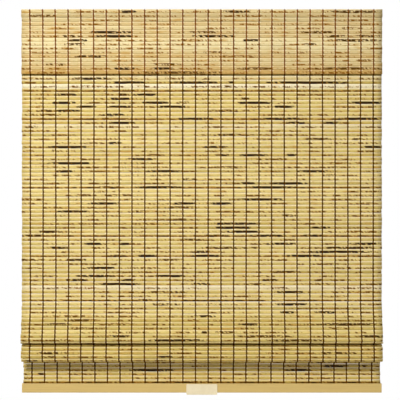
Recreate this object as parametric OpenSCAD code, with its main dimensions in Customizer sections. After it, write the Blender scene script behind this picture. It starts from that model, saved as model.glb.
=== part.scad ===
// Bamboo roman shade with a cordless spring lift, in millimetres.
// The origin is the centre of the bracket screw holes on the mounting plane.
// +X is to the right, +Y towards the wall, +Z up, and the front faces -Y.
// The mat hangs straight from the headrail and then lies in two front folds above the bottom rail.

/* [Woven mat] */
// Width of the woven mats
mat_w = 902; // [760:1:1000]
// Height that one bamboo slat takes up
slat_pitch = 10.1; // [9:0.1:11]
// Thickness of a slat
slat_t = 2.2; // [1.8:0.1:2.6]
// Thickness of the web between two slats
web_t = 0.9; // [0.6:0.1:1.2]
// Bevel from the web to the full thickness of a slat
slat_edge = 0.8; // [0.4:0.1:1.2]
// Number of slats in the valance
valance_rows = 16; // [12:1:20]
// Number of slats in the straight part of the mat
drop_rows = 72; // [60:1:84]
// Height of a light gap between two slats
gap_h = 0.8; // [0.4:0.1:1.2]
// Share of the width that one light gap takes up
gap_share = 0.4; // [0.2:0.05:0.45]

/* [Warp yarns] */
// Number of warp yarns across a mat
yarn_count = 28; // [24:1:32]
// Width of a warp yarn
yarn_w = 3.8; // [1.6:0.1:4.4]
// Height of a warp yarn above the slats
yarn_t = 1; // [0.6:0.1:1.2]
// Distance from the side of a mat to its first warp yarn
yarn_inset = 21.5; // [16:0.5:30]

/* [Folds] */
// Radius of the bend into the front fold
lead_r = 120; // [90:1:150]
// Forward slope of the front fold in degrees
front_slope = 14; // [12:0.5:16]
// Length of the sloping face of the front fold
front_run = 66; // [60:1:74]
// Radius of the bottom of a fold
fold_r = 8; // [7:0.1:9]
// Radius of the mat where a ring row gathers it
gather_r = 4; // [3.6:0.1:4.6]
// Height from the start of the folds down to the first gathered row
gather_drop = 44; // [40:1:50]
// Height that the second fold shows below the front fold
second_reveal = 46; // [42:1:52]
// Height that the mat shows between the second fold and the bottom rail
hem_reveal = 57; // [48:1:66]

/* [Headrail] */
// Depth of the headrail from front to back
rail_d = 38; // [37.5:0.1:42]
// Height of the headrail
rail_h = 25; // [25:0.1:30]
// Thickness of the headrail's sheet steel
sheet_t = 0.8; // [0.6:0.1:1]
// Width of each lip along the top of the headrail
lip_w = 5; // [4:0.1:5.5]
// Distance from the end of the headrail to the side of the mat
rail_inset = 4; // [2:0.5:8]
// Thickness of the wooden batten
batten_t = 6; // [5:0.5:11]
// Thickness of the batten's lower edge, below which the valance hangs free
batten_toe = 1.5; // [1.2:0.1:3]
// Diameter of the batten screws
screw_d = 3; // [2.5:0.1:3.5]

/* [Brackets] */
// Distance from the side of the mat to the middle of a bracket
bracket_inset = 71; // [40:1:120]
// Width of a bracket
bracket_w = 30; // [24:1:36]
// Thickness of the bracket's sheet steel
bracket_t = 1.2; // [1:0.1:1.5]
// Diameter of the mounting holes
hole_d = 4.5; // [4:0.1:5.5]
// Distance between the two ceiling holes of a bracket
hole_pitch = 14; // [12:0.5:16]
// Depth of the wall hole below the mounting plane
wall_hole_drop = 36; // [34:0.5:42]

/* [Spring lift] */
// Number of teeth on each gear
teeth = 20; // [18:2:24]
// Tooth size as pitch diameter over number of teeth
tooth_module = 1.4; // [1.2:0.05:1.45]
// Free play between meshing teeth
backlash = 0.4; // [0.3:0.05:0.6]
// Height of a gear
gear_h = 3.5; // [3:0.1:4]
// Diameter of the posts that the wheels turn on
post_d = 5; // [4:0.1:6]
// Diameter of the lift cords
cord_d = 1.4; // [1.2:0.1:1.6]
// Distance that the lift cords run in front of the wheel posts
cord_front = 10.4; // [10:0.1:10.8]
// Number of warp yarns outside each lift cord
outer_yarn_count = 4; // [2:1:6]
// Outer diameter of a cord ring
ring_d = 14; // [13.6:0.1:14.6]
// Thickness of a cord ring
ring_wire = 1.6; // [1.2:0.1:1.8]
// Distance between ring rows on the straight part of the mat
ring_pitch = 179; // [160:1:190]
// Radius of the groove of a cord roller
roller_r = 3.5; // [3:0.1:3.8]

/* [Bottom rail] */
// Length of the bottom rail
bottom_w = 908; // [880:1:1000]
// Height of the bottom rail
bottom_h = 23; // [20:0.5:28]
// Thickness of the bottom rail
bottom_t = 10; // [9:0.5:13]
// Depth of the groove that holds the mat
groove_h = 11; // [8:0.5:14]
// Width of the pull handle
handle_w = 78; // [60:1:100]
// Wall thickness of the pull handle
handle_t = 2.2; // [1.6:0.1:3]
// Height of the grip below the bottom rail
handle_grip = 4.8; // [3.5:0.1:7]

/* [Hidden] */
$fn = 48;

// Running clearances and seats
seat = 0.3;
turn_play = 0.15;
slip = 0.2;
face_gap = 0.1;
eps = 0.01;
over = 1;

// Headrail levels
rail_len = mat_w - 2 * rail_inset;
rail_top = -bracket_t - face_gap;
rail_bottom = rail_top - rail_h;
rail_floor = rail_bottom + sheet_t;
rail_mid = (rail_top + rail_bottom) / 2;
rail_corner = 1.6;
lip_return = 2.4;
batten_chamfer = 1.2;

// Layers in front of the headrail, from back to front
drop_y = -rail_d / 2 - yarn_t - slat_t / 2;
batten_back = drop_y - slat_t / 2 - yarn_t;
batten_front = batten_back - batten_t;
valance_y = batten_front - yarn_t - slat_t / 2;
mat_top_gap = 4;
drop_top = rail_top - mat_top_gap;
valance_top = rail_top + face_gap;
fold_top = drop_top - drop_rows * slat_pitch;
yarn_back = slat_t / 2 + eps;
yarn_front = slat_t / 2 + yarn_t;

// The valance leans back over the bevel of the batten, and then hangs straight
bevel_top = valance_top - slat_pitch;
bevel_slope = atan((batten_t - batten_toe) / (bevel_top - rail_bottom));
bevel_play = 0.05;
bevel_lead = yarn_front / cos(bevel_slope) + bevel_play;
valance_low_y = batten_back - batten_toe - yarn_front;
function batten_face(z) = batten_front + (bevel_top - z) * tan(bevel_slope);
function valance_place(i, z) =
    i == 0 ? valance_y
    : z > rail_bottom ? batten_face(z) - bevel_lead
    : valance_low_y;

// Bracket places
bracket_pitch = mat_w - 2 * bracket_inset;

// Warp yarn places
yarn_step = (mat_w - 2 * yarn_inset) / (yarn_count - 1);
function yarn_x(i) = -mat_w / 2 + yarn_inset + i * yarn_step;
cord_x = -yarn_x(outer_yarn_count);

// Batten screws sit midway between warp yarns, with these counts of bays outside them
outer_bay_count = 2;
inner_bay_count = 9;
last_bay_count = yarn_count - 2;
screw_bays = [
    outer_bay_count,
    inner_bay_count,
    last_bay_count - inner_bay_count,
    last_bay_count - outer_bay_count
];
screw_play = 0.4;
screw_head_d = 2 * screw_d;
screw_head_h = 2;
batten_cover = 2.4;
screw_bite = batten_t - batten_cover;
function bay_x(i) = yarn_x(i) + yarn_step / 2;

// Lift cords
cord_y = -cord_front;
cord_r = cord_d / 2;

// Cord rings
ring_r = (ring_d - ring_wire) / 2;
ring_y = drop_y + yarn_front + seat + ring_d / 2;
ring_rows = [
    fold_top + 3 * ring_pitch,
    fold_top + 2 * ring_pitch,
    fold_top + ring_pitch
];

// Spring lift levels
lift_pitch = teeth * tooth_module;
post_x = [for (i = [0 : 3]) (i - 1.5) * lift_pitch];
base_t = 2;
boss_h = 0.5;
base_top = rail_floor + base_t;
gear_z = base_top + boss_h + face_gap;
drum_z = gear_z + gear_h;
flange_t = 1.2;
drum_h = 8.8;
drum_top = drum_z + drum_h;
cover_z = drum_top + flange_t + seat;
cover_t = 1.5;
addendum = 0.95;
gear_tip = lift_pitch / 2 + tooth_module * addendum;
base_wall = 1.2;
spool_r = cord_front - cord_r - seat;
flange_rim = 2.6;
flange_r = spool_r + flange_rim;
store_r = 7;
out_r = 8;
spring_t = 0.3;
spring_tuck = 0.25;
store_coil = 3;
out_coil = 1.5;
spring_lift = 0.9;

// Cord cradles
roller_lip = 1.3;
roller_flange = roller_r + roller_lip;
roller_w = 6;
roller_bore = 2.4;
cheek_t = 2.5;
cradle_t = 1.2;
wrap_r = roller_r + seat + cord_r;
roller_z = rail_floor + cradle_t + seat + roller_flange;
roller_x = cord_x - wrap_r;
cord_z = roller_z + wrap_r;
cradle_back = 14;
spout_d = 6;
spout_bore = 3;
spout_drop = 3;

// Side view of the folds as a walk: [y, z, heading in degrees from straight down to the front]
function go(s, length) = [
    s[0] - sin(s[2]) * length,
    s[1] - cos(s[2]) * length,
    s[2]
];
function swing(s, r, a) = [
    s[0] - sign(a) * r * (cos(s[2]) - cos(s[2] + a)),
    s[1] + sign(a) * r * (sin(s[2]) - sin(s[2] + a)),
    s[2] + a
];

// A knee brings the second fold forward close under the front fold, and its back leans to the wall
front_lean = 2.5;
knee_rise = 6;
knee_r = 8;
knee_turn = 65;
knee_run = 5;
face_slope = 4;
back_lean = 7.8;
quarter = 90;
half_turn = 2 * quarter;
fold_gap = 0.4;
a0 = [drop_y, fold_top - fold_gap, 0];
a1 = swing(a0, lead_r, front_slope);
a2 = go(a1, front_run);
a3 = swing(a2, fold_r, -half_turn - front_slope);
front_bottom = a3[1] - fold_r - yarn_front;
gather_z = fold_top - gather_drop;
a4 = go(a3, gather_z - a3[1]);
a5 = swing(a4, gather_r, quarter);
a6 = swing(a5, gather_r, quarter + front_lean);
a7 = go(a6, (a6[1] - front_bottom - knee_rise) / cos(front_lean));
a8 = go(swing(a7, knee_r, knee_turn), knee_run);
face_turn = face_slope - front_lean - knee_turn;
a9 = swing(a8, knee_r, face_turn);
second_bottom = front_bottom - second_reveal;
bend_fall = fold_r * (1 + sin(face_slope)) + yarn_front;
a10 = go(a9, (a9[1] - second_bottom - bend_fall) / cos(face_slope));
back_turn = back_lean - half_turn - face_slope;
a11 = swing(a10, fold_r, back_turn);
a12 = go(a11, (gather_z - a11[1]) / cos(back_lean));
a13 = swing(a12, gather_r, quarter - back_lean);
a14 = swing(a13, gather_r, quarter);
bottom_top = second_bottom - hem_reveal;
a15 = go(a14, a14[1] - bottom_top + groove_h - seat);

arc_step = 6;
function place(s) = [s[0], s[1]];
function arc(s, r, a) =
    let (n = ceil(abs(a) / arc_step))
    [for (k = [1 : n]) place(swing(s, r, a * k / n))];
front_line = concat(
    [place(a0)],
    arc(a0, lead_r, front_slope),
    [place(a2)],
    arc(a2, fold_r, -half_turn - front_slope),
    [place(a4)],
    arc(a4, gather_r, quarter)
);
second_line = concat(
    [place(a5)],
    arc(a5, gather_r, quarter + front_lean),
    [place(a7)],
    arc(a7, knee_r, knee_turn),
    [place(a8)],
    arc(a8, knee_r, face_turn),
    [place(a10)],
    arc(a10, fold_r, back_turn),
    [place(a12)],
    arc(a12, gather_r, quarter - back_lean)
);
hem_line = concat([place(a13)], arc(a13, gather_r, quarter), [place(a15)]);

// Slat joints at even steps along a line
function steps(p) = [for (i = [1 : len(p) - 1]) norm(p[i] - p[i - 1])];
function sums(v) = [for (i = 0, a = 0; i <= len(v); a = a + (i < len(v) ? v[i] : 0), i = i + 1) a];
function along(p, c, s) =
    let (
        k = max([for (i = [0 : len(c) - 2]) if (c[i] <= s + eps) i]),
        f = min(1, (s - c[k]) / (c[k + 1] - c[k]))
    )
    p[k] + f * (p[k + 1] - p[k]);
function slat_joints(p) =
    let (
        c = sums(steps(p)),
        total = c[len(c) - 1],
        n = round(total / slat_pitch)
    )
    [for (i = [0 : n]) along(p, c, total * i / n)];
function rest(v) = [for (i = [1 : len(v) - 1]) v[i]];
fold_joints = concat(
    slat_joints(front_line),
    rest(slat_joints(second_line)),
    rest(slat_joints(hem_line))
);
drop_joints = [for (i = [0 : drop_rows]) [drop_y, drop_top - i * slat_pitch]];
valance_joints = [
    for (i = [0 : valance_rows])
        let (z = valance_top - i * slat_pitch)
        [valance_place(i, z), z]
];

// Outline of a ridged mat wall from its slat joints
function unit(v) = v / norm(v);
function front_of(d) = [d[1], -d[0]];
function slat_dir(p, i) = unit(p[i + 1] - p[i]);
function is_end(p, i) = i == 0 || i == len(p) - 1;
function corner(p, i) =
    is_end(p, i) ? 0 : acos(min(1, slat_dir(p, i - 1) * slat_dir(p, i)));
function joint_normal(p, i) =
    i == 0 ? front_of(slat_dir(p, 0))
    : i == len(p) - 1 ? front_of(slat_dir(p, i - 1))
    : unit(front_of(slat_dir(p, i - 1)) + front_of(slat_dir(p, i)));
function edge_inset(p, i) =
    is_end(p, i) ? 0 : slat_edge + slat_t / 2 * tan(corner(p, i) / 2);
function ridges(p, side) = [
    for (i = [0 : len(p) - 2])
        let (
            d = slat_dir(p, i),
            lift = side * front_of(d) * slat_t / 2,
            web = p[i] + side * joint_normal(p, i) * web_t / 2,
            a = p[i] + d * edge_inset(p, i) + lift,
            b = p[i + 1] - d * edge_inset(p, i + 1) + lift
        )
        each (i == 0 ? [a, b] : [web, a, b])
];
function backwards(v) = [for (i = [len(v) - 1 : -1 : 0]) v[i]];
function wall_outline(p) = concat(ridges(p, 1), backwards(ridges(p, -1)));
function offset_line(p, away) = [
    for (i = [0 : len(p) - 1])
        if (is_end(p, i) || corner(p, i) > eps)
            p[i] + joint_normal(p, i) * away / cos(corner(p, i) / 2)
];
function yarn_outline(p, near, far) = concat(offset_line(p, near), backwards(offset_line(p, far)));

// Tray of the spring lift
boss_rim = 2;
base_x = post_x[3] + gear_tip + seat + base_wall;
base_y = gear_tip + seat + base_wall;

// Rings and stops of the gathered rows
fold_ring_drop = 3;
fold_ring_y = drop_y + slat_t / 2 + seat + ring_d / 2;
fold_ring_z = fold_top - fold_ring_drop;
gather_ring_y = a13[0] - ring_r;
gather_ring_z = a13[1] + slat_t / 2 + seat + ring_wire / 2;
stop_h = 5;
stop_r = cord_y - gather_ring_y + ring_r - ring_wire / 2 - seat;
stop_z = gather_ring_z;

// Bottom rail and pull handle
bottom_y = a15[0] - yarn_t / 2;
bottom_round = 1.5;
handle_drop = 1;
handle_corner = 2.6;
handle_rim = 2.4;
field_t = 0.5;

// Shapes shared by several pieces
module along_x(length) {
    rotate([90, 0, 90])
        linear_extrude(height = length, center = true)
            children();
}

module round_square(w, h, r) {
    square([w - 2 * r, h], center = true);
    square([w, h - 2 * r], center = true);
    for (x = [-1, 1], y = [-1, 1])
        translate([x * (w / 2 - r), y * (h / 2 - r)])
            circle(r);
}

module post(r, z0, z1) {
    translate([0, 0, z0])
        cylinder(r = r, h = z1 - z0);
}

module bore_y(x, z, d, y0, y1) {
    translate([x, y0, z])
        rotate([-90, 0, 0])
            cylinder(d = d, h = y1 - y0);
}

module box(low, high) {
    translate(low)
        cube(high - low);
}

module to_left() {
    mirror([1, 0, 0])
        children();
}

// Light gaps lie between slats, in the left and right half by turns
module light_gaps(p) {
    reach = 2 * slat_t;
    length = mat_w * gap_share;
    for (i = [1 : len(p) - 2]) {
        if (corner(p, i) < 1) {
            d = slat_dir(p, i);
            translate([(i % 2 - 0.5) * mat_w / 2, p[i][0], p[i][1]])
                rotate([atan2(d[0], -d[1]), 0, 0])
                    cube([length, reach, gap_h], center = true);
        }
    }
}

module mat_wall(p) {
    color("#c8b585")
        difference() {
            along_x(mat_w)
                polygon(wall_outline(p));
            light_gaps(p);
        }
}

module yarns(p, near, far) {
    color("#573a33")
        for (i = [0 : yarn_count - 1])
            translate([yarn_x(i), 0, 0])
                along_x(yarn_w)
                    polygon(yarn_outline(p, near, far));
}

module screw_holes(d, y0, y1) {
    for (i = screw_bays)
        bore_y(bay_x(i), rail_mid, d, y0, y1);
}

// Roll-formed steel headrail, open at the top between two lips
module headrail_channel() {
    color("#e4ddcb")
        difference() {
            translate([0, 0, rail_mid])
                along_x(rail_len)
                    channel_section();
            screw_holes(screw_d + screw_play, -rail_d / 2 - over, -rail_d / 2 + sheet_t + over);
            for (x = [-cord_x, cord_x])
                translate([x, cord_y, rail_bottom - over])
                    cylinder(d = spout_d + 2 * slip, h = sheet_t + 2 * over);
        }
}

module channel_section() {
    difference() {
        round_square(rail_d, rail_h, rail_corner);
        round_square(rail_d - 2 * sheet_t, rail_h - 2 * sheet_t, rail_corner - sheet_t);
        translate([0, rail_h / 2])
            square([rail_d - 2 * lip_w, 3 * sheet_t], center = true);
    }
    for (side = [-1, 1])
        translate([side * (rail_d / 2 - lip_w + sheet_t / 2), rail_h / 2 - lip_return / 2])
            square([sheet_t, lip_return], center = true);
}

// Plug that closes one end of the headrail
module end_cap() {
    cap_t = 2.5;
    plug_l = 9;
    plug_wall = 1.6;
    plug_w = rail_d - 2 * sheet_t - 2 * slip;
    plug_top = rail_top - lip_return - seat;
    plug_h = plug_top - rail_floor - slip;
    color("#eee6d2") {
        translate([rail_len / 2 + cap_t / 2, 0, rail_mid])
            along_x(cap_t)
                round_square(rail_d, rail_h, rail_corner);
        translate([rail_len / 2 - plug_l / 2, 0, plug_top - plug_h / 2])
            along_x(plug_l)
                difference() {
                    round_square(plug_w, plug_h, rail_corner / 2);
                    round_square(plug_w - 2 * plug_wall, plug_h - 2 * plug_wall, rail_corner / 2);
                }
    }
}

module end_cap_left() {
    to_left()
        end_cap();
}

module end_cap_right() {
    end_cap();
}

// Bent steel bracket: ceiling plate, two hooks under the lips and a leg for a wall screw
module bracket(x) {
    hook_y = rail_d / 2 - lip_w - seat - bracket_t;
    leg_y = rail_d / 2 + seat;
    leg_end = 7.2;
    leg_drop = wall_hole_drop + leg_end;
    leg_corner = 4;
    color("#d9d6cf")
        translate([x, 0, 0])
            difference() {
                union() {
                    box([-bracket_w / 2, -hook_y - bracket_t, -bracket_t],
                        [bracket_w / 2, leg_y + bracket_t, 0]);
                    for (side = [0, 1])
                        mirror([0, side, 0])
                            bracket_hook(hook_y);
                    translate([0, leg_y + bracket_t / 2, -leg_drop / 2])
                        rotate([90, 0, 0])
                            linear_extrude(height = bracket_t, center = true) {
                                round_square(bracket_w, leg_drop, leg_corner);
                                translate([0, leg_drop / 4])
                                    square([bracket_w, leg_drop / 2], center = true);
                            }
                }
                for (y = [-hole_pitch / 2, hole_pitch / 2])
                    translate([0, y, 0])
                        post(hole_d / 2, -bracket_t - over, over);
                bore_y(0, -wall_hole_drop, hole_d, leg_y - over, leg_y + bracket_t + over);
            }
}

// Tab that drops through the headrail's mouth and turns outward under a lip
module bracket_hook(y) {
    hook_w = 18;
    wall_clear = 1;
    reach = lip_w - sheet_t - wall_clear;
    foot_z = rail_top - lip_return - seat;
    box([-hook_w / 2, y, foot_z - bracket_t], [hook_w / 2, y + bracket_t, -bracket_t / 2]);
    box([-hook_w / 2, y, foot_z - bracket_t], [hook_w / 2, y + bracket_t + reach, foot_z]);
}

module bracket_left() {
    bracket(-bracket_pitch / 2);
}

module bracket_right() {
    bracket(bracket_pitch / 2);
}

// Wooden batten that clamps the mat to the headrail and carries the valance
module batten() {
    color("#d4b67a")
        difference() {
            along_x(rail_len)
                polygon([
                    [batten_back, rail_top],
                    [batten_back, rail_bottom],
                    [batten_back - batten_toe, rail_bottom],
                    [batten_front, bevel_top],
                    [batten_front, rail_top - batten_chamfer],
                    [batten_front + batten_chamfer, rail_top]
                ]);
            screw_holes(screw_d + face_gap, batten_back - screw_bite - seat, batten_back + over);
        }
}

module batten_screws() {
    head_y = -rail_d / 2 + sheet_t;
    color("#b9bcc0")
        for (i = screw_bays) {
            bore_y(bay_x(i), rail_mid, screw_head_d, head_y, head_y + screw_head_h);
            bore_y(bay_x(i), rail_mid, screw_d, batten_back - screw_bite, head_y + eps);
        }
}

module valance_mat() {
    mat_wall(valance_joints);
}

module valance_yarns() {
    yarns(valance_joints, yarn_back, yarn_front);
    yarns(valance_joints, -yarn_front, -yarn_back);
}

module drop_mat() {
    difference() {
        mat_wall(drop_joints);
        screw_holes(screw_d + screw_play, batten_back, -rail_d / 2);
    }
}

module drop_yarns() {
    yarns(drop_joints, yarn_back, yarn_front);
    yarns(drop_joints, -yarn_front, -yarn_back);
}

// Involute tooth flanks
pressure_angle = 20;
dedendum = 1.25;
gear_pitch_r = lift_pitch / 2;
gear_base_r = gear_pitch_r * cos(pressure_angle);
gear_root_r = gear_pitch_r - dedendum * tooth_module;
flank_low_r = max(gear_base_r, gear_root_r);
flank_steps = 4;
function roll(r) =
    let (a = acos(min(1, gear_base_r / r)))
    tan(a) * 180 / PI - a;
function flank_angle(r) =
    (90 / teeth) - backlash / gear_pitch_r * 45 / PI + roll(gear_pitch_r) - roll(r);
function polar(r, a) = [r * cos(a), r * sin(a)];
flank_radii = [
    for (k = [0 : flank_steps])
        flank_low_r + (gear_tip - flank_low_r) * k / flank_steps
];
function tooth(a) = concat(
    [polar(gear_root_r, a - flank_angle(flank_low_r))],
    [for (r = flank_radii) polar(r, a - flank_angle(r))],
    [for (r = backwards(flank_radii)) polar(r, a + flank_angle(r))],
    [polar(gear_root_r, a + flank_angle(flank_low_r))]
);

module gear(phase) {
    translate([0, 0, gear_z])
        linear_extrude(height = gear_h)
            polygon([for (i = [0 : teeth - 1]) each tooth(phase + i * 360 / teeth)]);
}

// A wheel on post i: gears next to each other stand half a tooth apart
module wheel(i, drum_r, rim_r) {
    translate([post_x[i], 0, 0])
        difference() {
            union() {
                gear((i % 2) * 180 / teeth);
                post(drum_r, drum_z - eps, drum_top + eps);
                post(rim_r, drum_top, drum_top + flange_t);
            }
            post(post_d / 2 + turn_play, gear_z - over, cover_z);
        }
}

module spool_left() {
    color("#f0ede4")
        wheel(0, spool_r, flange_r);
}

module spool_right() {
    color("#f0ede4")
        wheel(3, spool_r, flange_r);
}

module output_drum() {
    color("#f0ede4")
        wheel(1, out_r, flange_r);
}

module idler_gear() {
    color("#f0ede4")
        translate([post_x[2], 0, 0])
            difference() {
                gear(0);
                post(post_d / 2 + turn_play, gear_z - over, cover_z);
            }
}

module storage_drum() {
    color("#e3dfd3")
        translate([post_x[2], 0, 0])
            difference() {
                union() {
                    post(store_r, drum_z + face_gap, drum_top + eps);
                    post(flange_r, drum_top, drum_top + flange_t);
                }
                post(post_d / 2 + turn_play, gear_z, cover_z);
            }
}

// Steel strip spring: its coil on the storage drum crosses over to the output drum
module power_spring() {
    low = drum_z + spring_lift;
    high = drum_top - spring_lift;
    store_out = store_r + seat + store_coil;
    drum_out = out_r + seat + out_coil;
    lean = asin((store_out + drum_out - spring_t - 2 * spring_tuck) / lift_pitch);
    color("#a3a7ab") {
        tube(post_x[2], store_r + seat, store_out, low, high);
        tube(post_x[1], out_r + seat, drum_out, low, high);
        translate([post_x[1], 0, low])
            rotate([0, 0, -lean])
                translate([0, drum_out - spring_t - spring_tuck, 0])
                    cube([lift_pitch * cos(lean), spring_t, high - low]);
    }
}

module tube(x, r0, r1, z0, z1) {
    translate([x, 0, 0])
        difference() {
            post(r1, z0, z1);
            post(r0, z0 - over, z1 + over);
        }
}

// Moulded tray with a post for each wheel and a notch in each end for a cord
module motor_base() {
    notch_play = 1;
    notch_w = cord_d + 2 * notch_play;
    notch_z = cord_z - notch_w / 2;
    color("#e9e3d3") {
        difference() {
            box([-base_x, -base_y, rail_floor], [base_x, base_y, cover_z]);
            box([base_wall - base_x, base_wall - base_y, base_top],
                [base_x - base_wall, base_y - base_wall, cover_z + over]);
            box([-base_x - over, cord_y - notch_w / 2, notch_z],
                [base_x + over, cord_y + notch_w / 2, cover_z + over]);
        }
        for (x = post_x)
            translate([x, 0, 0]) {
                post(post_d / 2 + boss_rim, base_top - eps, base_top + boss_h);
                post(post_d / 2, base_top - eps, cover_z + cover_t);
            }
    }
}

// Skeleton plate that closes the tray and steadies the posts
module motor_cover() {
    color("#ddd6c3")
        difference() {
            box([-base_x, -base_y, cover_z], [base_x, base_y, cover_z + cover_t]);
            for (x = post_x)
                translate([x, 0, 0]) {
                    cover_window();
                    post(post_d / 2 + face_gap, cover_z - over, cover_z + cover_t + over);
                }
        }
}

module cover_window() {
    window_rim = 3.5;
    hub_rim = 3;
    spoke_w = 4;
    window_r = gear_tip - window_rim;
    hub_r = post_d / 2 + hub_rim;
    low = cover_z - 2 * over;
    high = cover_z + cover_t + 2 * over;
    difference() {
        post(window_r, cover_z - over, cover_z + cover_t + over);
        post(hub_r, low, high);
        for (a = [45, 135])
            rotate([0, 0, a])
                box([-2 * window_r, -spoke_w / 2, low], [2 * window_r, spoke_w / 2, high]);
    }
}

// Cord cradle: two cheeks hold the roller over a spout in the headrail's floor
module cradle() {
    side_y = rail_d / 2 - rail_corner - face_gap;
    wall_h = 9;
    sill_h = 3;
    wall_t = 1.2;
    low_x = roller_x - cradle_back;
    high_x = cord_x + spout_d;
    cheek_r = 3.6;
    color("#efe9da")
        difference() {
            union() {
                box([low_x, -side_y, rail_floor], [high_x, side_y, rail_floor + cradle_t]);
                for (side = [-1, 1]) {
                    cheek_y = cord_y + side * (roller_w / 2 + seat + cheek_t / 2);
                    bore_y(roller_x, roller_z, 2 * cheek_r, cheek_y - cheek_t / 2, cheek_y + cheek_t / 2);
                    box([roller_x - cheek_r, cheek_y - cheek_t / 2, rail_floor],
                        [roller_x + cheek_r, cheek_y + cheek_t / 2, roller_z]);
                }
                for (x = [low_x, high_x - wall_t])
                    box([x, -side_y, rail_floor], [x + wall_t, side_y, rail_floor + sill_h]);
                box([low_x, side_y - wall_t, rail_floor], [high_x, side_y, rail_floor + wall_h]);
                translate([cord_x, cord_y, 0])
                    post(spout_d / 2, rail_bottom - spout_drop, rail_floor + cradle_t);
            }
            translate([cord_x, cord_y, 0])
                post(spout_bore / 2, rail_bottom - spout_drop - over, rail_floor + cradle_t + over);
            bore_y(roller_x, roller_z, roller_bore + face_gap, -side_y - over, side_y - wall_t - over);
        }
}

module cradle_left() {
    to_left()
        cradle();
}

module cradle_right() {
    cradle();
}

module roller_pins() {
    half = roller_w / 2 + seat + cheek_t;
    color("#a9adb1")
        for (x = [-roller_x, roller_x])
            bore_y(x, roller_z, roller_bore, cord_y - half, cord_y + half);
}

// Grooved roller that turns the lift cord from the headrail down the back of the mat
module roller() {
    half = roller_w / 2;
    rim = 1;
    floor_half = cord_d / 2;
    color("#d8d3c6")
        translate([roller_x, cord_y, roller_z])
            rotate([90, 0, 0])
                rotate_extrude()
                    polygon([
                        [roller_bore / 2 + turn_play, -half],
                        [roller_flange, -half],
                        [roller_flange, rim - half],
                        [roller_r, -floor_half],
                        [roller_r, floor_half],
                        [roller_flange, half - rim],
                        [roller_flange, half],
                        [roller_bore / 2 + turn_play, half]
                    ]);
}

module roller_left() {
    to_left()
        roller();
}

module roller_right() {
    roller();
}

// Lift cord from its spool over the roller and down through the rings to its stop
module lift_cord() {
    color("#d9cfb4") {
        translate([post_x[3], cord_y, cord_z])
            rotate([0, 90, 0])
                cylinder(r = cord_r, h = roller_x - post_x[3]);
        translate([roller_x, cord_y, roller_z])
            rotate([90, 0, 0])
                rotate_extrude(angle = quarter)
                    translate([wrap_r, 0])
                        circle(cord_r);
        translate([cord_x, cord_y, 0])
            post(cord_r, stop_z - stop_h / 2 - seat, roller_z);
    }
}

module lift_cord_left() {
    to_left()
        lift_cord();
}

module lift_cord_right() {
    lift_cord();
}

// A pair of cord rings, one behind each lift cord's warp yarn
module ring_pair(y, z) {
    color("#f4f1ea")
        for (x = [-cord_x, cord_x])
            translate([x, y, z])
                rotate_extrude()
                    translate([ring_r, 0])
                        circle(ring_wire / 2);
}

module ring_row_upper() {
    ring_pair(ring_y, ring_rows[0]);
}

module ring_row_middle() {
    ring_pair(ring_y, ring_rows[1]);
}

module ring_row_lower() {
    ring_pair(ring_y, ring_rows[2]);
}

module fold_mat() {
    mat_wall(fold_joints);
}

module fold_yarns() {
    yarns(fold_joints, yarn_back, yarn_front);
}

module fold_rings() {
    ring_pair(fold_ring_y, fold_ring_z);
    ring_pair(gather_ring_y, gather_ring_z);
    ring_pair(gather_ring_y, gather_ring_z + ring_wire + seat);
}

// Stop that each lift cord is tied into, inside the lowest ring
module cord_stops() {
    color("#efe9da")
        for (x = [-cord_x, cord_x])
            translate([x, cord_y, 0])
                tube(0, cord_r + face_gap, stop_r, stop_z - stop_h / 2, stop_z + stop_h / 2);
}

// Wooden bottom rail, grooved along its top for the end of the mat
module bottom_rail() {
    groove_w = slat_t + yarn_t + 2 * slip;
    color("#d6b876")
        translate([0, bottom_y, bottom_top - bottom_h / 2])
            along_x(bottom_w)
                difference() {
                    round_square(bottom_t, bottom_h, bottom_round);
                    translate([0, (bottom_h - groove_h) / 2 + eps])
                        square([groove_w, groove_h + eps], center = true);
                }
}

// Moulded pull that clips round the bottom rail, with a shallow field inside its rim
module pull_handle() {
    front_y = bottom_y - bottom_t / 2 - slip - handle_t;
    back_y = bottom_y + bottom_t / 2 + slip + handle_t;
    low_z = bottom_top - bottom_h - handle_grip;
    high_z = bottom_top - handle_drop;
    back_lap = 16;
    edge_r = 0.9;
    back_h = back_lap + handle_grip;
    grip_h = handle_grip - slip;
    tall = high_z - low_z;
    color("#ecdeb9")
        difference() {
            intersection() {
                along_x(handle_w) {
                    translate([front_y + handle_t / 2, (low_z + high_z) / 2])
                        round_square(handle_t, tall, edge_r);
                    translate([back_y - handle_t / 2, low_z + back_h / 2])
                        round_square(handle_t, back_h, edge_r);
                    translate([(front_y + back_y) / 2, low_z + grip_h / 2])
                        round_square(back_y - front_y, grip_h, edge_r);
                }
                translate([0, back_y + over, (low_z + high_z) / 2])
                    rotate([90, 0, 0])
                        linear_extrude(height = back_y - front_y + 2 * over)
                            round_square(handle_w, tall, handle_corner);
            }
            translate([0, front_y + field_t, (low_z + high_z) / 2])
                rotate([90, 0, 0])
                    linear_extrude(height = 2 * field_t)
                        round_square(handle_w - 2 * handle_rim, tall - 2 * handle_rim, handle_corner / 2);
        }
}

headrail_channel();
end_cap_left();
end_cap_right();
bracket_left();
bracket_right();
batten();
batten_screws();
valance_mat();
valance_yarns();
drop_mat();
drop_yarns();
motor_base();
motor_cover();
power_spring();
spool_left();
output_drum();
idler_gear();
storage_drum();
spool_right();
cradle_left();
cradle_right();
roller_pins();
roller_left();
roller_right();
lift_cord_left();
lift_cord_right();
ring_row_upper();
ring_row_middle();
ring_row_lower();
fold_mat();
fold_yarns();
fold_rings();
cord_stops();
bottom_rail();
pull_handle();
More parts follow.
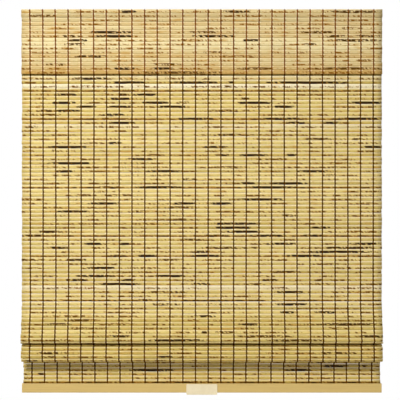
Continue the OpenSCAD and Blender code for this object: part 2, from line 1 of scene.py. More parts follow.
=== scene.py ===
"""Looks of the bamboo roman shade: woven mats, lift cords, rails, pull and spring lift, in a white studio."""
import logging
import math
import random
from dataclasses import dataclass, field
from enum import Enum
from functools import cache
from typing import Any, ClassVar

import bpy
import numpy as np
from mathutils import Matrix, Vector


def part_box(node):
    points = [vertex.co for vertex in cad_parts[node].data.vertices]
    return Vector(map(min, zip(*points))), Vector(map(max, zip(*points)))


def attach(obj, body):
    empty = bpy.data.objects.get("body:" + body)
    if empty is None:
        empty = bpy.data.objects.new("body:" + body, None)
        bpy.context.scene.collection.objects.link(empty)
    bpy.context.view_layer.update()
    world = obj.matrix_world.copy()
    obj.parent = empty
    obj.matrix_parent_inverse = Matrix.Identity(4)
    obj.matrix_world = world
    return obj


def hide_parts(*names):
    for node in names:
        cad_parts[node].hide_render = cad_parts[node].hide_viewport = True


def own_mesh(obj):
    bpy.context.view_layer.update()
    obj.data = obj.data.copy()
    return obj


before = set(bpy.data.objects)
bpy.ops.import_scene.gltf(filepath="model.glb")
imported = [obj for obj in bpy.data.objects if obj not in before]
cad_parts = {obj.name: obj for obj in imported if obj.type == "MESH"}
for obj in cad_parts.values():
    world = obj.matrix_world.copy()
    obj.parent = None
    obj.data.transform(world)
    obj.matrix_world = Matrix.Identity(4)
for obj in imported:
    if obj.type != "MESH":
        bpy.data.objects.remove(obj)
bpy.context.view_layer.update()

MM = 0.001
DROP_LOW, DROP_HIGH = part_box("drop_mat")  # lowest and highest corner of the straight mat's solid
WHITE = (1.0, 1.0, 1.0)
LOG = logging.getLogger("shade")

Pair = tuple[float, float]
Triple = tuple[float, float, float]
Socket = bpy.types.NodeSocket
Feed = Socket | float | tuple[float, ...]


class Body(Enum):
    """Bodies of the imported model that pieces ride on."""

    HEADRAIL = "headrail"
    BOTTOM_RAIL = "bottom_rail"


class Slot(Enum):
    """Names of material slots of the record."""

    BAMBOO = "bamboo"
    YARN = "brown_yarn"
    CORD = "lift_cord"


class Side(Enum):
    """Sides of the shade as seen from the room, by the sign of their X."""

    LEFT = -1
    RIGHT = 1


# Node trees


class Graph:
    """A node tree that is filled by short calls, whose values are sockets, numbers or colours."""

    def __init__(self, tree: bpy.types.NodeTree) -> None:
        """Takes the tree to fill."""
        self.tree = tree

    def feed(self, socket: Socket, value: Feed) -> None:
        """Links an input to another node, or sets the input's own value.

        Args:
            socket: input of a node.
            value: socket to link, or the value to set.
        """
        if isinstance(value, Socket):
            self.tree.links.new(value, socket)
        elif isinstance(value, tuple) and socket.type == "RGBA":
            socket.default_value = (*value, 1.0)
        else:
            socket.default_value = value

    def node(self, kind: str, inputs: dict[Any, Feed] | None = None, **settings: Any) -> bpy.types.Node:
        """Adds a node.

        Args:
            kind: Blender's type name of the node.
            inputs: values by input name or number.
            **settings: properties of the node.

        Returns:
            The new node.
        """
        made = self.tree.nodes.new(kind)
        for name, value in settings.items():
            setattr(made, name, value)
        for name, value in (inputs or {}).items():
            self.feed(made.inputs[name], value)
        return made

    def calc(self, operation: str, *values: Feed, clamp: bool = False) -> Socket:
        """Adds a math node and returns its result."""
        inputs = dict(enumerate(values))
        return self.node("ShaderNodeMath", inputs, operation=operation, use_clamp=clamp).outputs[0]

    def add(self, a: Feed, b: Feed) -> Socket:
        """Adds two values."""
        return self.calc("ADD", a, b)

    def less(self, a: Feed, b: Feed) -> Socket:
        """Takes the second value from the first."""
        return self.calc("SUBTRACT", a, b)

    def times(self, a: Feed, b: Feed) -> Socket:
        """Multiplies two values."""
        return self.calc("MULTIPLY", a, b)

    def scaled(self, value: Feed, factor: Feed, offset: Feed) -> Socket:
        """Multiplies a value and adds an offset."""
        return self.calc("MULTIPLY_ADD", value, factor, offset)

    def most(self, a: Feed, b: Feed) -> Socket:
        """Takes the larger of two values."""
        return self.calc("MAXIMUM", a, b)

    def mix(self, share: Feed, a: Feed, b: Feed) -> Socket:
        """Mixes two colours by the share of the second one."""
        return self.node("ShaderNodeMix", {0: share, 6: a, 7: b}, data_type="RGBA").outputs[2]

    def ramp(self, value: Feed, span: Pair, to: Pair = (0.0, 1.0)) -> Socket:
        """Maps a span smoothly to another one, and holds its ends beyond it."""
        inputs = {"Value": value, "From Min": span[0], "From Max": span[1], "To Min": to[0], "To Max": to[1]}
        return self.node("ShaderNodeMapRange", inputs, interpolation_type="SMOOTHSTEP").outputs[0]

    def join(self, x: Feed, y: Feed, z: Feed) -> Socket:
        """Joins three values to a vector."""
        return self.node("ShaderNodeCombineXYZ", {0: x, 1: y, 2: z}).outputs[0]

    def split(self, vector: Feed) -> tuple[Socket, ...]:
        """Splits a vector into its three values."""
        return tuple(self.node("ShaderNodeSeparateXYZ", {0: vector}).outputs)

    def stretch(self, vector: Feed, scales: tuple[Feed, Feed, Feed]) -> Socket:
        """Multiplies each value of a vector by its own scale."""
        return self.join(*(self.times(part, scale) for part, scale in zip(self.split(vector), scales)))

    def noise(self, vector: Feed, scale: float = 1.0, detail: float = 2.0, rough: float = 0.5) -> Socket:
        """Adds a noise texture and returns its value, which is about 0.5 on average."""
        inputs = {"Vector": vector, "Scale": scale, "Detail": detail, "Roughness": rough}
        return self.node("ShaderNodeTexNoise", inputs).outputs[0]

    def attribute(self, name: str) -> Socket:
        """Reads a vector that the mesh stores at its points."""
        return self.node("ShaderNodeAttribute", attribute_name=name).outputs["Vector"]

    def object_place(self) -> Socket:
        """Reads the place in the object's own frame."""
        return self.node("ShaderNodeTexCoord").outputs["Object"]

    def group(self, tree: bpy.types.NodeTree, inputs: dict[str, Feed]) -> bpy.types.bpy_prop_collection:
        """Places a node group with its own values and returns its outputs."""
        return self.node("ShaderNodeGroup", inputs, node_tree=tree).outputs


class GroupMaker:
    """Builds each shared shader group once."""

    PORE_STEP: ClassVar[Pair] = (0.56, 0.74)
    STREAK_EDGE: ClassVar[Pair] = (-0.12, 0.08)
    STREAK_WHOLE: ClassVar[Pair] = (0.48, 0.72)
    STREAK_TAPER: ClassVar[float] = 0.22
    STREAK_FADE: ClassVar[float] = 0.7

    @staticmethod
    def start(name: str, inputs: dict[str, str], outputs: list[str]) -> tuple[Graph, Any, Any]:
        """Starts a group.

        Args:
            name: name of the group.
            inputs: socket types by input name.
            outputs: names of the values that it puts out.

        Returns:
            The group's graph, the outputs of its input node and the inputs of its output node.
        """
        tree = bpy.data.node_groups.new(name, "ShaderNodeTree")
        for label, kind in inputs.items():
            tree.interface.new_socket(name=label, in_out="INPUT", socket_type=f"NodeSocket{kind}")
        for label in outputs:
            tree.interface.new_socket(name=label, in_out="OUTPUT", socket_type="NodeSocketFloat")
        graph = Graph(tree)
        return graph, graph.node("NodeGroupInput").outputs, graph.node("NodeGroupOutput").inputs

    @classmethod
    @cache
    def grain(cls) -> bpy.types.NodeTree:
        """Long fibres along X with fine dark pores, for bamboo and wood.

        Returns:
            The group, with Place, Along and Across in and Fibre and Pore out.
        """
        sockets = {"Place": "Vector", "Along": "Float", "Across": "Float"}
        g, given, result = cls.start("grain", sockets, ["Fibre", "Pore"])
        place = g.stretch(given["Place"], (given["Along"], given["Across"], given["Across"]))
        g.feed(result["Fibre"], g.noise(place, detail=4.0, rough=0.62))
        g.feed(result["Pore"], g.ramp(g.noise(place, scale=2.7), cls.PORE_STEP))
        return g.tree

    @classmethod
    @cache
    def mottle(cls) -> bpy.types.NodeTree:
        """Soft cloudy change with a fine grain, for moulded, plated and spun surfaces.

        Returns:
            The group, with Place and Size in and Cloud and Fine out.
        """
        g, given, result = cls.start("mottle", {"Place": "Vector", "Size": "Float"}, ["Cloud", "Fine"])
        place = g.stretch(given["Place"], (given["Size"],) * 3)
        g.feed(result["Cloud"], g.noise(place, detail=3.0))
        g.feed(result["Fine"], g.noise(place, scale=18.0, rough=0.6))
        return g.tree

    @classmethod
    @cache
    def streak(cls) -> bpy.types.NodeTree:
        """One tapered dark mark along a slat, broken into slanting flecks.

        Returns:
            The group, with Place, Streak, Fleck and Drift in and Depth out.
        """
        sockets = {"Place": "Vector", "Streak": "Vector", "Fleck": "Float", "Drift": "Float"}
        g, given, result = cls.start("streak", sockets, ["Depth"])
        x, v, _ = g.split(given["Place"])
        middle, half, depth = g.split(given["Streak"])
        off = g.calc("DIVIDE", g.less(x, middle), half)
        body = g.calc("SUBTRACT", 1.0, g.times(off, off), clamp=True)
        tapered = g.calc("POWER", body, cls.STREAK_TAPER)
        tall = g.times(tapered, g.scaled(given["Drift"], factor=0.4, offset=0.36))
        aside = g.calc("ABSOLUTE", g.add(v, g.scaled(given["Drift"], factor=0.5, offset=-0.03)))
        inside = g.ramp(g.less(tall, aside), cls.STREAK_EDGE)
        fading = g.times(g.calc("POWER", body, cls.STREAK_FADE), depth)
        solid = g.scaled(fading, factor=0.85, offset=-0.22)
        whole = g.ramp(g.add(given["Fleck"], solid), cls.STREAK_WHOLE)
        g.feed(result["Depth"], g.times(g.times(inside, whole), depth))
        return g.tree


# Finishes


@dataclass(frozen=True)
class Finish:
    """A finish of the shade, dressed with a Principled shader."""

    name: str
    colour: Triple
    roughness: float = 0.5

    def start(self, **constants: float) -> tuple[bpy.types.Material, Graph, Any]:
        """Starts the material.

        Args:
            **constants: plain values of the Principled shader, with _ for spaces.

        Returns:
            The material, its graph and the inputs of its Principled node.
        """
        material = bpy.data.materials.new(self.name)
        material.use_nodes = True
        shader = material.node_tree.nodes["Principled BSDF"].inputs
        for label, value in constants.items():
            shader[label.replace("_", " ")].default_value = value
        return material, Graph(material.node_tree), shader

    def material(self) -> bpy.types.Material:
        """Makes the material, in each kind of finish."""
        raise NotImplementedError

    def around(self, below: float, above: float) -> Pair:
        """Roughness from some way below the finish's own to some way above it."""
        return (self.roughness - below, self.roughness + above)

    @staticmethod
    def bump(g: Graph, shader: Any, height: Feed, strength: float, depth: float) -> None:
        """Feeds a height into the shader's normal."""
        inputs = {"Height": height, "Strength": strength, "Distance": depth}
        g.feed(shader["Normal"], g.node("ShaderNodeBump", inputs).outputs[0])


@dataclass
class SlatSurface:
    """What a slat's material reads at a point: the place on the slat, its tint and the textures from them."""

    g: Graph
    half_height: float = 4.5 * MM
    fibre_scales: Pair = (22.0, 900.0)
    fibre_apart: float = 0.37
    fleck_along: float = 190.0
    fleck_slant: float = 0.9
    fleck_up: float = 0.8
    fleck_apart: float = 3.1
    fleck_step: Pair = (0.32, 0.68)
    place: Socket = field(init=False)
    x: Socket = field(init=False)
    v: Socket = field(init=False)
    seed: Socket = field(init=False)
    tone: Socket = field(init=False)
    warmth: Socket = field(init=False)
    stain: Socket = field(init=False)
    fibre: Socket = field(init=False)
    pore: Socket = field(init=False)
    fleck: Socket = field(init=False)
    drift: Socket = field(init=False)

    def __post_init__(self) -> None:
        """Reads the attributes: x along the slat, v from -1 at its lower edge to 1, and its own numbers."""
        g = self.g
        self.place = g.attribute("slat_place")
        self.x, self.v, self.seed = g.split(self.place)
        self.tone, self.warmth, self.stain = g.split(g.attribute("slat_tint"))
        own_place = g.join(self.x, g.times(self.v, self.half_height), g.times(self.seed, self.fibre_apart))
        along, across = self.fibre_scales
        grain = g.group(GroupMaker.grain(), {"Place": own_place, "Along": along, "Across": across})
        self.fibre = grain["Fibre"]
        self.pore = grain["Pore"]
        slanted = g.scaled(self.x, self.fleck_along, g.times(self.v, self.fleck_slant))
        own_fleck = g.join(slanted, g.times(self.v, self.fleck_up), g.times(self.seed, self.fleck_apart))
        self.fleck = g.ramp(g.noise(own_fleck, rough=0.6), self.fleck_step)
        self.drift = self.blotch(along=30.0, apart=5.3, detail=1.0)

    def blotch(self, along: float, apart: float, offset: float = 0.0, detail: float = 2.0) -> Socket:
        """Noise along the slat that differs from slat to slat."""
        place = self.g.join(self.g.times(self.x, along), self.g.times(self.seed, apart), offset)
        return self.g.noise(place, detail=detail)

    def band(self, foot: Pair, head: Pair) -> Socket:
        """A soft band along the slat, which rises over one span of v and falls over the other."""
        return self.g.times(self.g.ramp(self.v, foot), self.g.ramp(self.v, head))


@dataclass(frozen=True)
class BambooFinish(Finish):
    """Split bamboo slats, straw to olive with dark stains and flecks, and a painted highlight along the top.
    """

    # Painted highlight: colour of each slat's upper edge, where light from above falls on its crown
    top: Triple = (0.87, 0.74, 0.40)
    ochre: Triple = (0.55, 0.39, 0.095)
    olive: Triple = (0.41, 0.31, 0.075)
    amber: Triple = (0.50, 0.27, 0.05)
    # Colour of the pale slats, and of the painted light beside the yarns
    pale_and_glint: Triple = (1.0, 0.93, 0.72)
    rust: Triple = (0.29, 0.118, 0.010)
    brown: Triple = (0.110, 0.050, 0.006)
    black: Triple = (0.032, 0.017, 0.005)
    top_highlight: float = 0.62
    # Share of painted shade, in ochre, on the lower half of each slat
    shade: float = 0.18
    # Share of a painted highlight along a ridge in the middle of each slat
    ridge_highlight: float = 0.0
    speck: float = 0.46
    # Share of painted light beside the yarns
    glint_strength: float = 0.45
    porous: float = 0.25
    paleness: float = 0.8

    OCHRE_TONES: ClassVar[Pair] = (0.0, 1.0)
    AMBER_TONES: ClassVar[Pair] = (1.0, 2.0)
    WORN_STEP: ClassVar[Pair] = (0.35, 1.0)
    TOP_HIGHLIGHT_SPAN: ClassVar[Pair] = (-0.05, 0.62)
    RIDGE_V: ClassVar[float] = -0.3
    RIDGE_HIGHLIGHT_SPAN: ClassVar[Pair] = (0.30, 0.08)
    PAINTED_SHADE_BAND: ClassVar[tuple[Pair, Pair]] = ((-1.0, -0.75), (0.15, -0.35))
    SMUDGE_SCALES: ClassVar[Triple] = (24.0, 0.5, 4.1)
    SMUDGE_STEP: ClassVar[Pair] = (0.54, 0.70)
    SMUDGE_SPAN: ClassVar[Pair] = (0.7, -0.1)
    FIBRE_STEP: ClassVar[Pair] = (0.35, 0.75)
    STAIN_BAND: ClassVar[tuple[Pair, Pair]] = ((-0.95, -0.55), (0.12, -0.25))
    SPECK_BAND: ClassVar[tuple[Pair, Pair]] = ((-0.9, -0.6), (0.25, -0.1))
    CROWD_STEP: ClassVar[Pair] = (0.40, 0.66)
    SPECK_STEP: ClassVar[Pair] = (0.66, 0.95)
    # Painted light beside the yarns: its reach from a yarn and its band on the slat
    GLINT_NEAR: ClassVar[Pair] = (1.2 * MM, 2.2 * MM)
    GLINT_FAR: ClassVar[Pair] = (5.6 * MM, 3.2 * MM)
    GLINT_EDGE: ClassVar[Pair] = (0.45, 0.80)
    RUST_STEP: ClassVar[Pair] = (0.0, 0.30)
    BROWN_STEP: ClassVar[Pair] = (0.22, 0.52)
    BLACK_STEP: ClassVar[Pair] = (0.50, 0.80)

    def material(self) -> bpy.types.Material:
        """Makes the material.

        Returns:
            The material, which reads the slat attributes of a woven mat.
        """
        material, g, shader = self.start(Specular_IOR_Level=0.05)
        slat = SlatSurface(g)
        # Painted light: pale spots beside the yarns, where light shows through the gaps
        base = g.mix(g.times(self.gap_glint_mask(slat), self.glint_strength), self.ground(slat), self.pale_and_glint)
        depth = self.marks(slat)
        for step, colour in (
            (self.RUST_STEP, self.rust), (self.BROWN_STEP, self.brown), (self.BLACK_STEP, self.black),
        ):
            base = g.mix(g.ramp(depth, step), base, colour)
        g.feed(shader["Base Color"], base)
        g.feed(shader["Roughness"], g.ramp(slat.fibre, (0.2, 0.8), self.around(below=0.08, above=0.12)))
        self.bump(g, shader, g.less(slat.fibre, slat.pore), strength=0.5, depth=0.25 * MM)
        return material

    def ground(self, slat: SlatSurface) -> Socket:
        """Colour of the bare slat: tone, wear, painted top highlight, painted lower shade, smudges and
        fibres.

        Args:
            slat: what the material reads.

        Returns:
            The colour.
        """
        g = slat.g
        v = slat.v
        base = g.mix(g.ramp(slat.tone, self.OCHRE_TONES), self.colour, self.ochre)
        patch = slat.blotch(along=7.0, apart=7.7)
        worn = g.add(slat.warmth, g.scaled(patch, factor=0.9, offset=-0.45))
        base = g.mix(g.ramp(worn, self.WORN_STEP, to=(0.0, 0.8)), base, self.olive)
        # Painted highlight along the upper edge of the slat
        base = g.mix(g.ramp(v, self.TOP_HIGHLIGHT_SPAN, to=(0.0, self.top_highlight)), base, self.top)
        # Painted highlight along the ridge in the middle of the slat
        off_ridge = g.calc("ABSOLUTE", g.less(v, self.RIDGE_V))
        base = g.mix(g.ramp(off_ridge, self.RIDGE_HIGHLIGHT_SPAN, to=(0.0, self.ridge_highlight)), base, self.top)
        base = g.mix(g.ramp(slat.tone, self.AMBER_TONES, to=(0.0, 0.8)), base, self.amber)
        base = g.mix(g.calc("MULTIPLY", slat.stain, -self.paleness, clamp=True), base, self.pale_and_glint)
        # Painted shade: the lower half of the slat turns ochre
        base = g.mix(g.times(slat.band(*self.PAINTED_SHADE_BAND), self.shade), base, self.ochre)
        along, up, apart = self.SMUDGE_SCALES
        smudge = g.noise(g.join(g.times(slat.x, along), g.times(v, up), g.times(slat.seed, apart)))
        spread = g.times(g.ramp(smudge, self.SMUDGE_STEP), g.ramp(v, self.SMUDGE_SPAN, to=(0.15, 0.75)))
        base = g.mix(spread, base, self.amber)
        base = g.mix(g.ramp(slat.fibre, self.FIBRE_STEP, to=(0.0, 0.45)), base, self.ochre)
        return g.mix(g.times(slat.pore, self.porous), base, self.rust)

    def marks(self, slat: SlatSurface) -> Socket:
        """Dark marks: the stain of a whole slat, loose specks, and the streaks that the mesh stores.

        Args:
            slat: what the material reads.

        Returns:
            The depth of the deepest mark, from 0 to 1.
        """
        g = slat.g
        depth = g.most(self.full_stain(slat), self.specks(slat))
        given = {"Place": slat.place, "Fleck": slat.fleck, "Drift": slat.drift}
        for index in range(WovenMat.MARKS):
            streak = g.group(GroupMaker.streak(), given | {"Streak": g.attribute(f"streak_{index}")})
            depth = g.most(depth, streak["Depth"])
        return depth

    def full_stain(self, slat: SlatSurface) -> Socket:
        """Brown band that runs along the whole of a stained slat.

        Args:
            slat: what the material reads. A stain below 0 is a pale slat.

        Returns:
            The depth of the stain.
        """
        g = slat.g
        slow = g.scaled(slat.drift, factor=1.5, offset=-0.30)
        change = g.add(slow, g.scaled(slat.fleck, factor=0.7, offset=-0.3))
        band = g.calc("MULTIPLY", slat.band(*self.STAIN_BAND), change, clamp=True)
        return g.times(band, g.most(slat.stain, 0.0))

    def gap_glint_mask(self, slat: SlatSurface) -> Socket:
        """Painted light: pale spots on the slats' upper edges beside each warp yarn, where light shows
        through the gaps.

        Args:
            slat: what the material reads.

        Returns:
            A mask of the painted spots of light.
        """
        g = slat.g
        away = g.calc("PINGPONG", g.less(slat.x, WovenMat.yarn_x(0.0)), WovenMat.yarn_step() / 2)
        beside = g.times(g.ramp(away, self.GLINT_NEAR), g.ramp(away, self.GLINT_FAR))
        upper_reach = g.add(slat.v, g.scaled(slat.fibre, factor=0.4, offset=-0.2))
        return g.times(beside, g.ramp(upper_reach, self.GLINT_EDGE))

    def specks(self, slat: SlatSurface) -> Socket:
        """Short brown specks that lie in loose groups on the lower half of the slats.

        Args:
            slat: what the material reads.

        Returns:
            The depth of the specks.
        """
        g = slat.g
        groups = slat.blotch(along=13.0, apart=2.3, offset=4.0, detail=1.0)
        crowd = g.ramp(groups, self.CROWD_STEP, to=(-0.30, 0.35))
        dense = g.ramp(g.add(slat.fleck, crowd), self.SPECK_STEP)
        return g.times(g.times(slat.band(*self.SPECK_BAND), dense), self.speck)


@dataclass(frozen=True)
class YarnFinish(Finish):
    """Twisted cotton yarn or braided cord with lighter fibre ends."""

    light: Triple = (0.16, 0.085, 0.06)
    twist: float = 900.0
    slant: float = 1.4
    ply_depth: float = 0.2
    cloud_size: float = 45.0
    light_step: Pair = (0.3, 0.95)

    def material(self) -> bpy.types.Material:
        """Makes the material.

        Returns:
            The material, which reads the yarn's rest place.
        """
        material, g, shader = self.start(Roughness=self.roughness, Specular_IOR_Level=0.0)
        place = g.attribute("rest_place")
        mottle = g.group(GroupMaker.mottle(), {"Place": place, "Size": self.cloud_size})
        x, y, z = g.split(place)
        across = g.add(g.times(x, self.slant), g.add(y, z))
        plies = g.calc("SINE", g.times(across, self.twist * math.tau))
        shade = g.add(g.times(plies, self.ply_depth), mottle["Cloud"])
        shade = g.add(shade, g.scaled(mottle["Fine"], factor=0.5, offset=-0.25))
        g.feed(shader["Base Color"], g.mix(g.ramp(shade, self.light_step), self.colour, self.light))
        self.bump(g, shader, shade, strength=0.6, depth=0.15 * MM)
        return material


@dataclass(frozen=True)
class WoodFinish(Finish):
    """Straight-grained wood under a clear satin coat."""

    dark: Triple = (0.46, 0.30, 0.10)
    fine_scales: Pair = (5.0, 420.0)
    band_scales: Pair = (1.6, 95.0)
    fine_step: Pair = (0.35, 0.80)
    band_step: Pair = (0.42, 0.72)
    porous: float = 0.30

    def material(self) -> bpy.types.Material:
        """Makes the material.

        Returns:
            The material, with fine fibres and pores over broad bands.
        """
        material, g, shader = self.start(Coat_Weight=0.12, Coat_Roughness=0.35, Specular_IOR_Level=0.35)
        place = g.object_place()
        fine, band = (
            g.group(GroupMaker.grain(), {"Place": place, "Along": along, "Across": across})
            for along, across in (self.fine_scales, self.band_scales)
        )
        base = g.mix(g.ramp(fine["Fibre"], self.fine_step, to=(0.0, 0.32)), self.colour, self.dark)
        base = g.mix(g.ramp(band["Fibre"], self.band_step, to=(0.0, 0.30)), base, self.dark)
        g.feed(shader["Base Color"], g.mix(g.times(fine["Pore"], self.porous), base, self.dark))
        g.feed(shader["Roughness"], g.ramp(fine["Fibre"], (0.2, 0.8), self.around(below=0.06, above=0.1)))
        self.bump(g, shader, fine["Fibre"], strength=0.25, depth=0.12 * MM)
        return material


@dataclass(frozen=True)
class MouldedFinish(Finish):
    """Moulded plastic or enamel with a faint cloudiness and a fine skin."""

    cloud: float = 0.10
    skin: float = 0.12
    size: float = 60.0
    cloud_tint: Triple = (1.0, 0.985, 0.95)

    def material(self) -> bpy.types.Material:
        """Makes the material.

        Returns:
            The material, with warm clouds and a fine bump.
        """
        material, g, shader = self.start(Specular_IOR_Level=0.45)
        mottle = g.group(GroupMaker.mottle(), {"Place": g.object_place(), "Size": self.size})
        deep = tuple(part * (1 - self.cloud) * tint for part, tint in zip(self.colour, self.cloud_tint))
        g.feed(shader["Base Color"], g.mix(g.ramp(mottle["Cloud"], (0.3, 0.75)), self.colour, deep))
        g.feed(shader["Roughness"], g.ramp(mottle["Fine"], (0.3, 0.7), self.around(below=0.06, above=0.08)))
        self.bump(g, shader, mottle["Fine"], strength=self.skin, depth=0.1 * MM)
        return material


@dataclass(frozen=True)
class SteelFinish(Finish):
    """Bare or plated steel, brushed along one way and a little cloudy."""

    brush: Triple = (300.0, 300.0, 300.0)
    cloud: float = 0.78
    cloud_size: float = 120.0

    def material(self) -> bpy.types.Material:
        """Makes the material.

        Returns:
            The material, with drawn lines in its gloss.
        """
        material, g, shader = self.start(Metallic=1.0)
        place = g.object_place()
        lines = g.noise(g.stretch(place, self.brush), detail=3.0, rough=0.65)
        mottle = g.group(GroupMaker.mottle(), {"Place": place, "Size": self.cloud_size})
        deep = tuple(part * self.cloud for part in self.colour)
        g.feed(shader["Base Color"], g.mix(g.ramp(mottle["Cloud"], (0.3, 0.7)), self.colour, deep))
        g.feed(shader["Roughness"], g.ramp(lines, (0.25, 0.75), self.around(below=0.1, above=0.12)))
        self.bump(g, shader, lines, strength=0.15, depth=0.05 * MM)
        return material


# Meshes


def add_to_scene(name: str, data: Any) -> bpy.types.Object:
    """Makes an object from a mesh, a lamp or a camera and links it to the scene.

    Args:
        name: name of the object.
        data: what the object shows.

    Returns:
        The new object.
    """
    made = bpy.data.objects.new(name, data)
    bpy.context.scene.collection.objects.link(made)
    return made


def path_lengths(path: np.ndarray) -> np.ndarray:
    """Length of a path from its start to each of its points."""
    return np.concatenate([[0.0], np.cumsum(np.linalg.norm(np.diff(path, axis=0), axis=1))])


def unit(vectors: np.ndarray) -> np.ndarray:
    """Vectors brought to length 1."""
    return vectors / np.linalg.norm(vectors, axis=1)[:, None]


@dataclass
class MeshMaker:
    """Gathers closed tubes with their point vectors and surface map, and makes one mesh object."""

    STRIP_FILL: ClassVar[float] = 0.92
    SIDE_SPAN: ClassVar[Pair] = (0.02, 0.98)
    CAP_MIDDLES: ClassVar[Pair] = (0.008, 0.992)
    CAP_REACH: ClassVar[Pair] = (0.006, 0.4)

    name: str
    points: list[np.ndarray] = field(default_factory=list)
    faces: list[np.ndarray] = field(default_factory=list)
    caps: list[list[int]] = field(default_factory=list)
    places: list[np.ndarray] = field(default_factory=list)
    cap_places: list[np.ndarray] = field(default_factory=list)
    vectors: dict[str, list[np.ndarray]] = field(default_factory=dict)
    count: int = 0

    def tube(self, rings: np.ndarray, strip: tuple[int, int], **vectors: np.ndarray) -> None:
        """Adds a closed tube.

        Args:
            rings: points as (ring, corner, xyz).
            strip: number of this tube's strip on the surface map, and how many strips there are.
            **vectors: point vectors by attribute name, shaped like rings.
        """
        n, m = rings.shape[:2]
        index = self.count + np.arange(n * m).reshape(n, m)
        after = np.roll(index, -1, axis=1)
        quads = np.stack([index[:-1], index[1:], after[1:], after[:-1]], axis=-1)
        self.faces.append(quads.reshape(-1, 4))
        self.caps += [index[0].tolist(), index[-1][::-1].tolist()]
        self.map_tube(n, m, strip[0] / strip[1], (strip[0] + self.STRIP_FILL) / strip[1])
        self.points.append(rings.reshape(-1, 3))
        for label, value in vectors.items():
            self.vectors.setdefault(label, []).append(value.reshape(-1, 3))
        self.count += n * m

    def map_tube(self, n: int, m: int, low: float, high: float) -> None:
        """Lays a tube's sides and end caps out on its strip of the surface map.

        Args:
            n: number of rings.
            m: number of corners of a ring.
            low: lower edge of the strip.
            high: upper edge of the strip.
        """
        u = np.linspace(*self.SIDE_SPAN, n)
        w = low + (high - low) * np.linspace(0.0, 1.0, m + 1)
        corner = np.empty((n - 1, m, 4, 2))
        for k, (du, dw) in enumerate(((0, 0), (1, 0), (1, 1), (0, 1))):
            corner[:, :, k, 0] = u[du : n - 1 + du, None]
            corner[:, :, k, 1] = w[None, dw : m + dw]
        self.places.append(corner.reshape(-1, 2))
        turn = np.arange(m) * math.tau / m
        wide, tall = self.CAP_REACH
        for middle in self.CAP_MIDDLES:
            aside = middle + wide * np.cos(turn)
            upright = (low + high) / 2 + (high - low) * tall * np.sin(turn)
            self.cap_places.append(np.stack([aside, upright], axis=-1))

    def build(self, material: bpy.types.Material) -> bpy.types.Object:
        """Makes the object.

        Args:
            material: finish of the mesh.

        Returns:
            The new object, in the row frame.
        """
        mesh = bpy.data.meshes.new(self.name)
        quads = np.concatenate(self.faces)
        mesh.from_pydata(np.concatenate(self.points).tolist(), [], quads.tolist() + self.caps)
        smooth = np.ones(len(mesh.polygons), bool)
        smooth[len(quads) :] = False
        mesh.polygons.foreach_set("use_smooth", smooth)
        for label, parts in self.vectors.items():
            made = mesh.attributes.new(label, "FLOAT_VECTOR", "POINT")
            made.data.foreach_set("vector", np.concatenate(parts).astype(np.float32).ravel())
        surface = mesh.uv_layers.new(name="OFBake")
        places = np.concatenate(self.places + self.cap_places)
        surface.data.foreach_set("uv", places.astype(np.float32).ravel())
        mesh.materials.append(material)
        mesh.validate()
        mesh.update()
        return add_to_scene(self.name, mesh)


# Woven mats


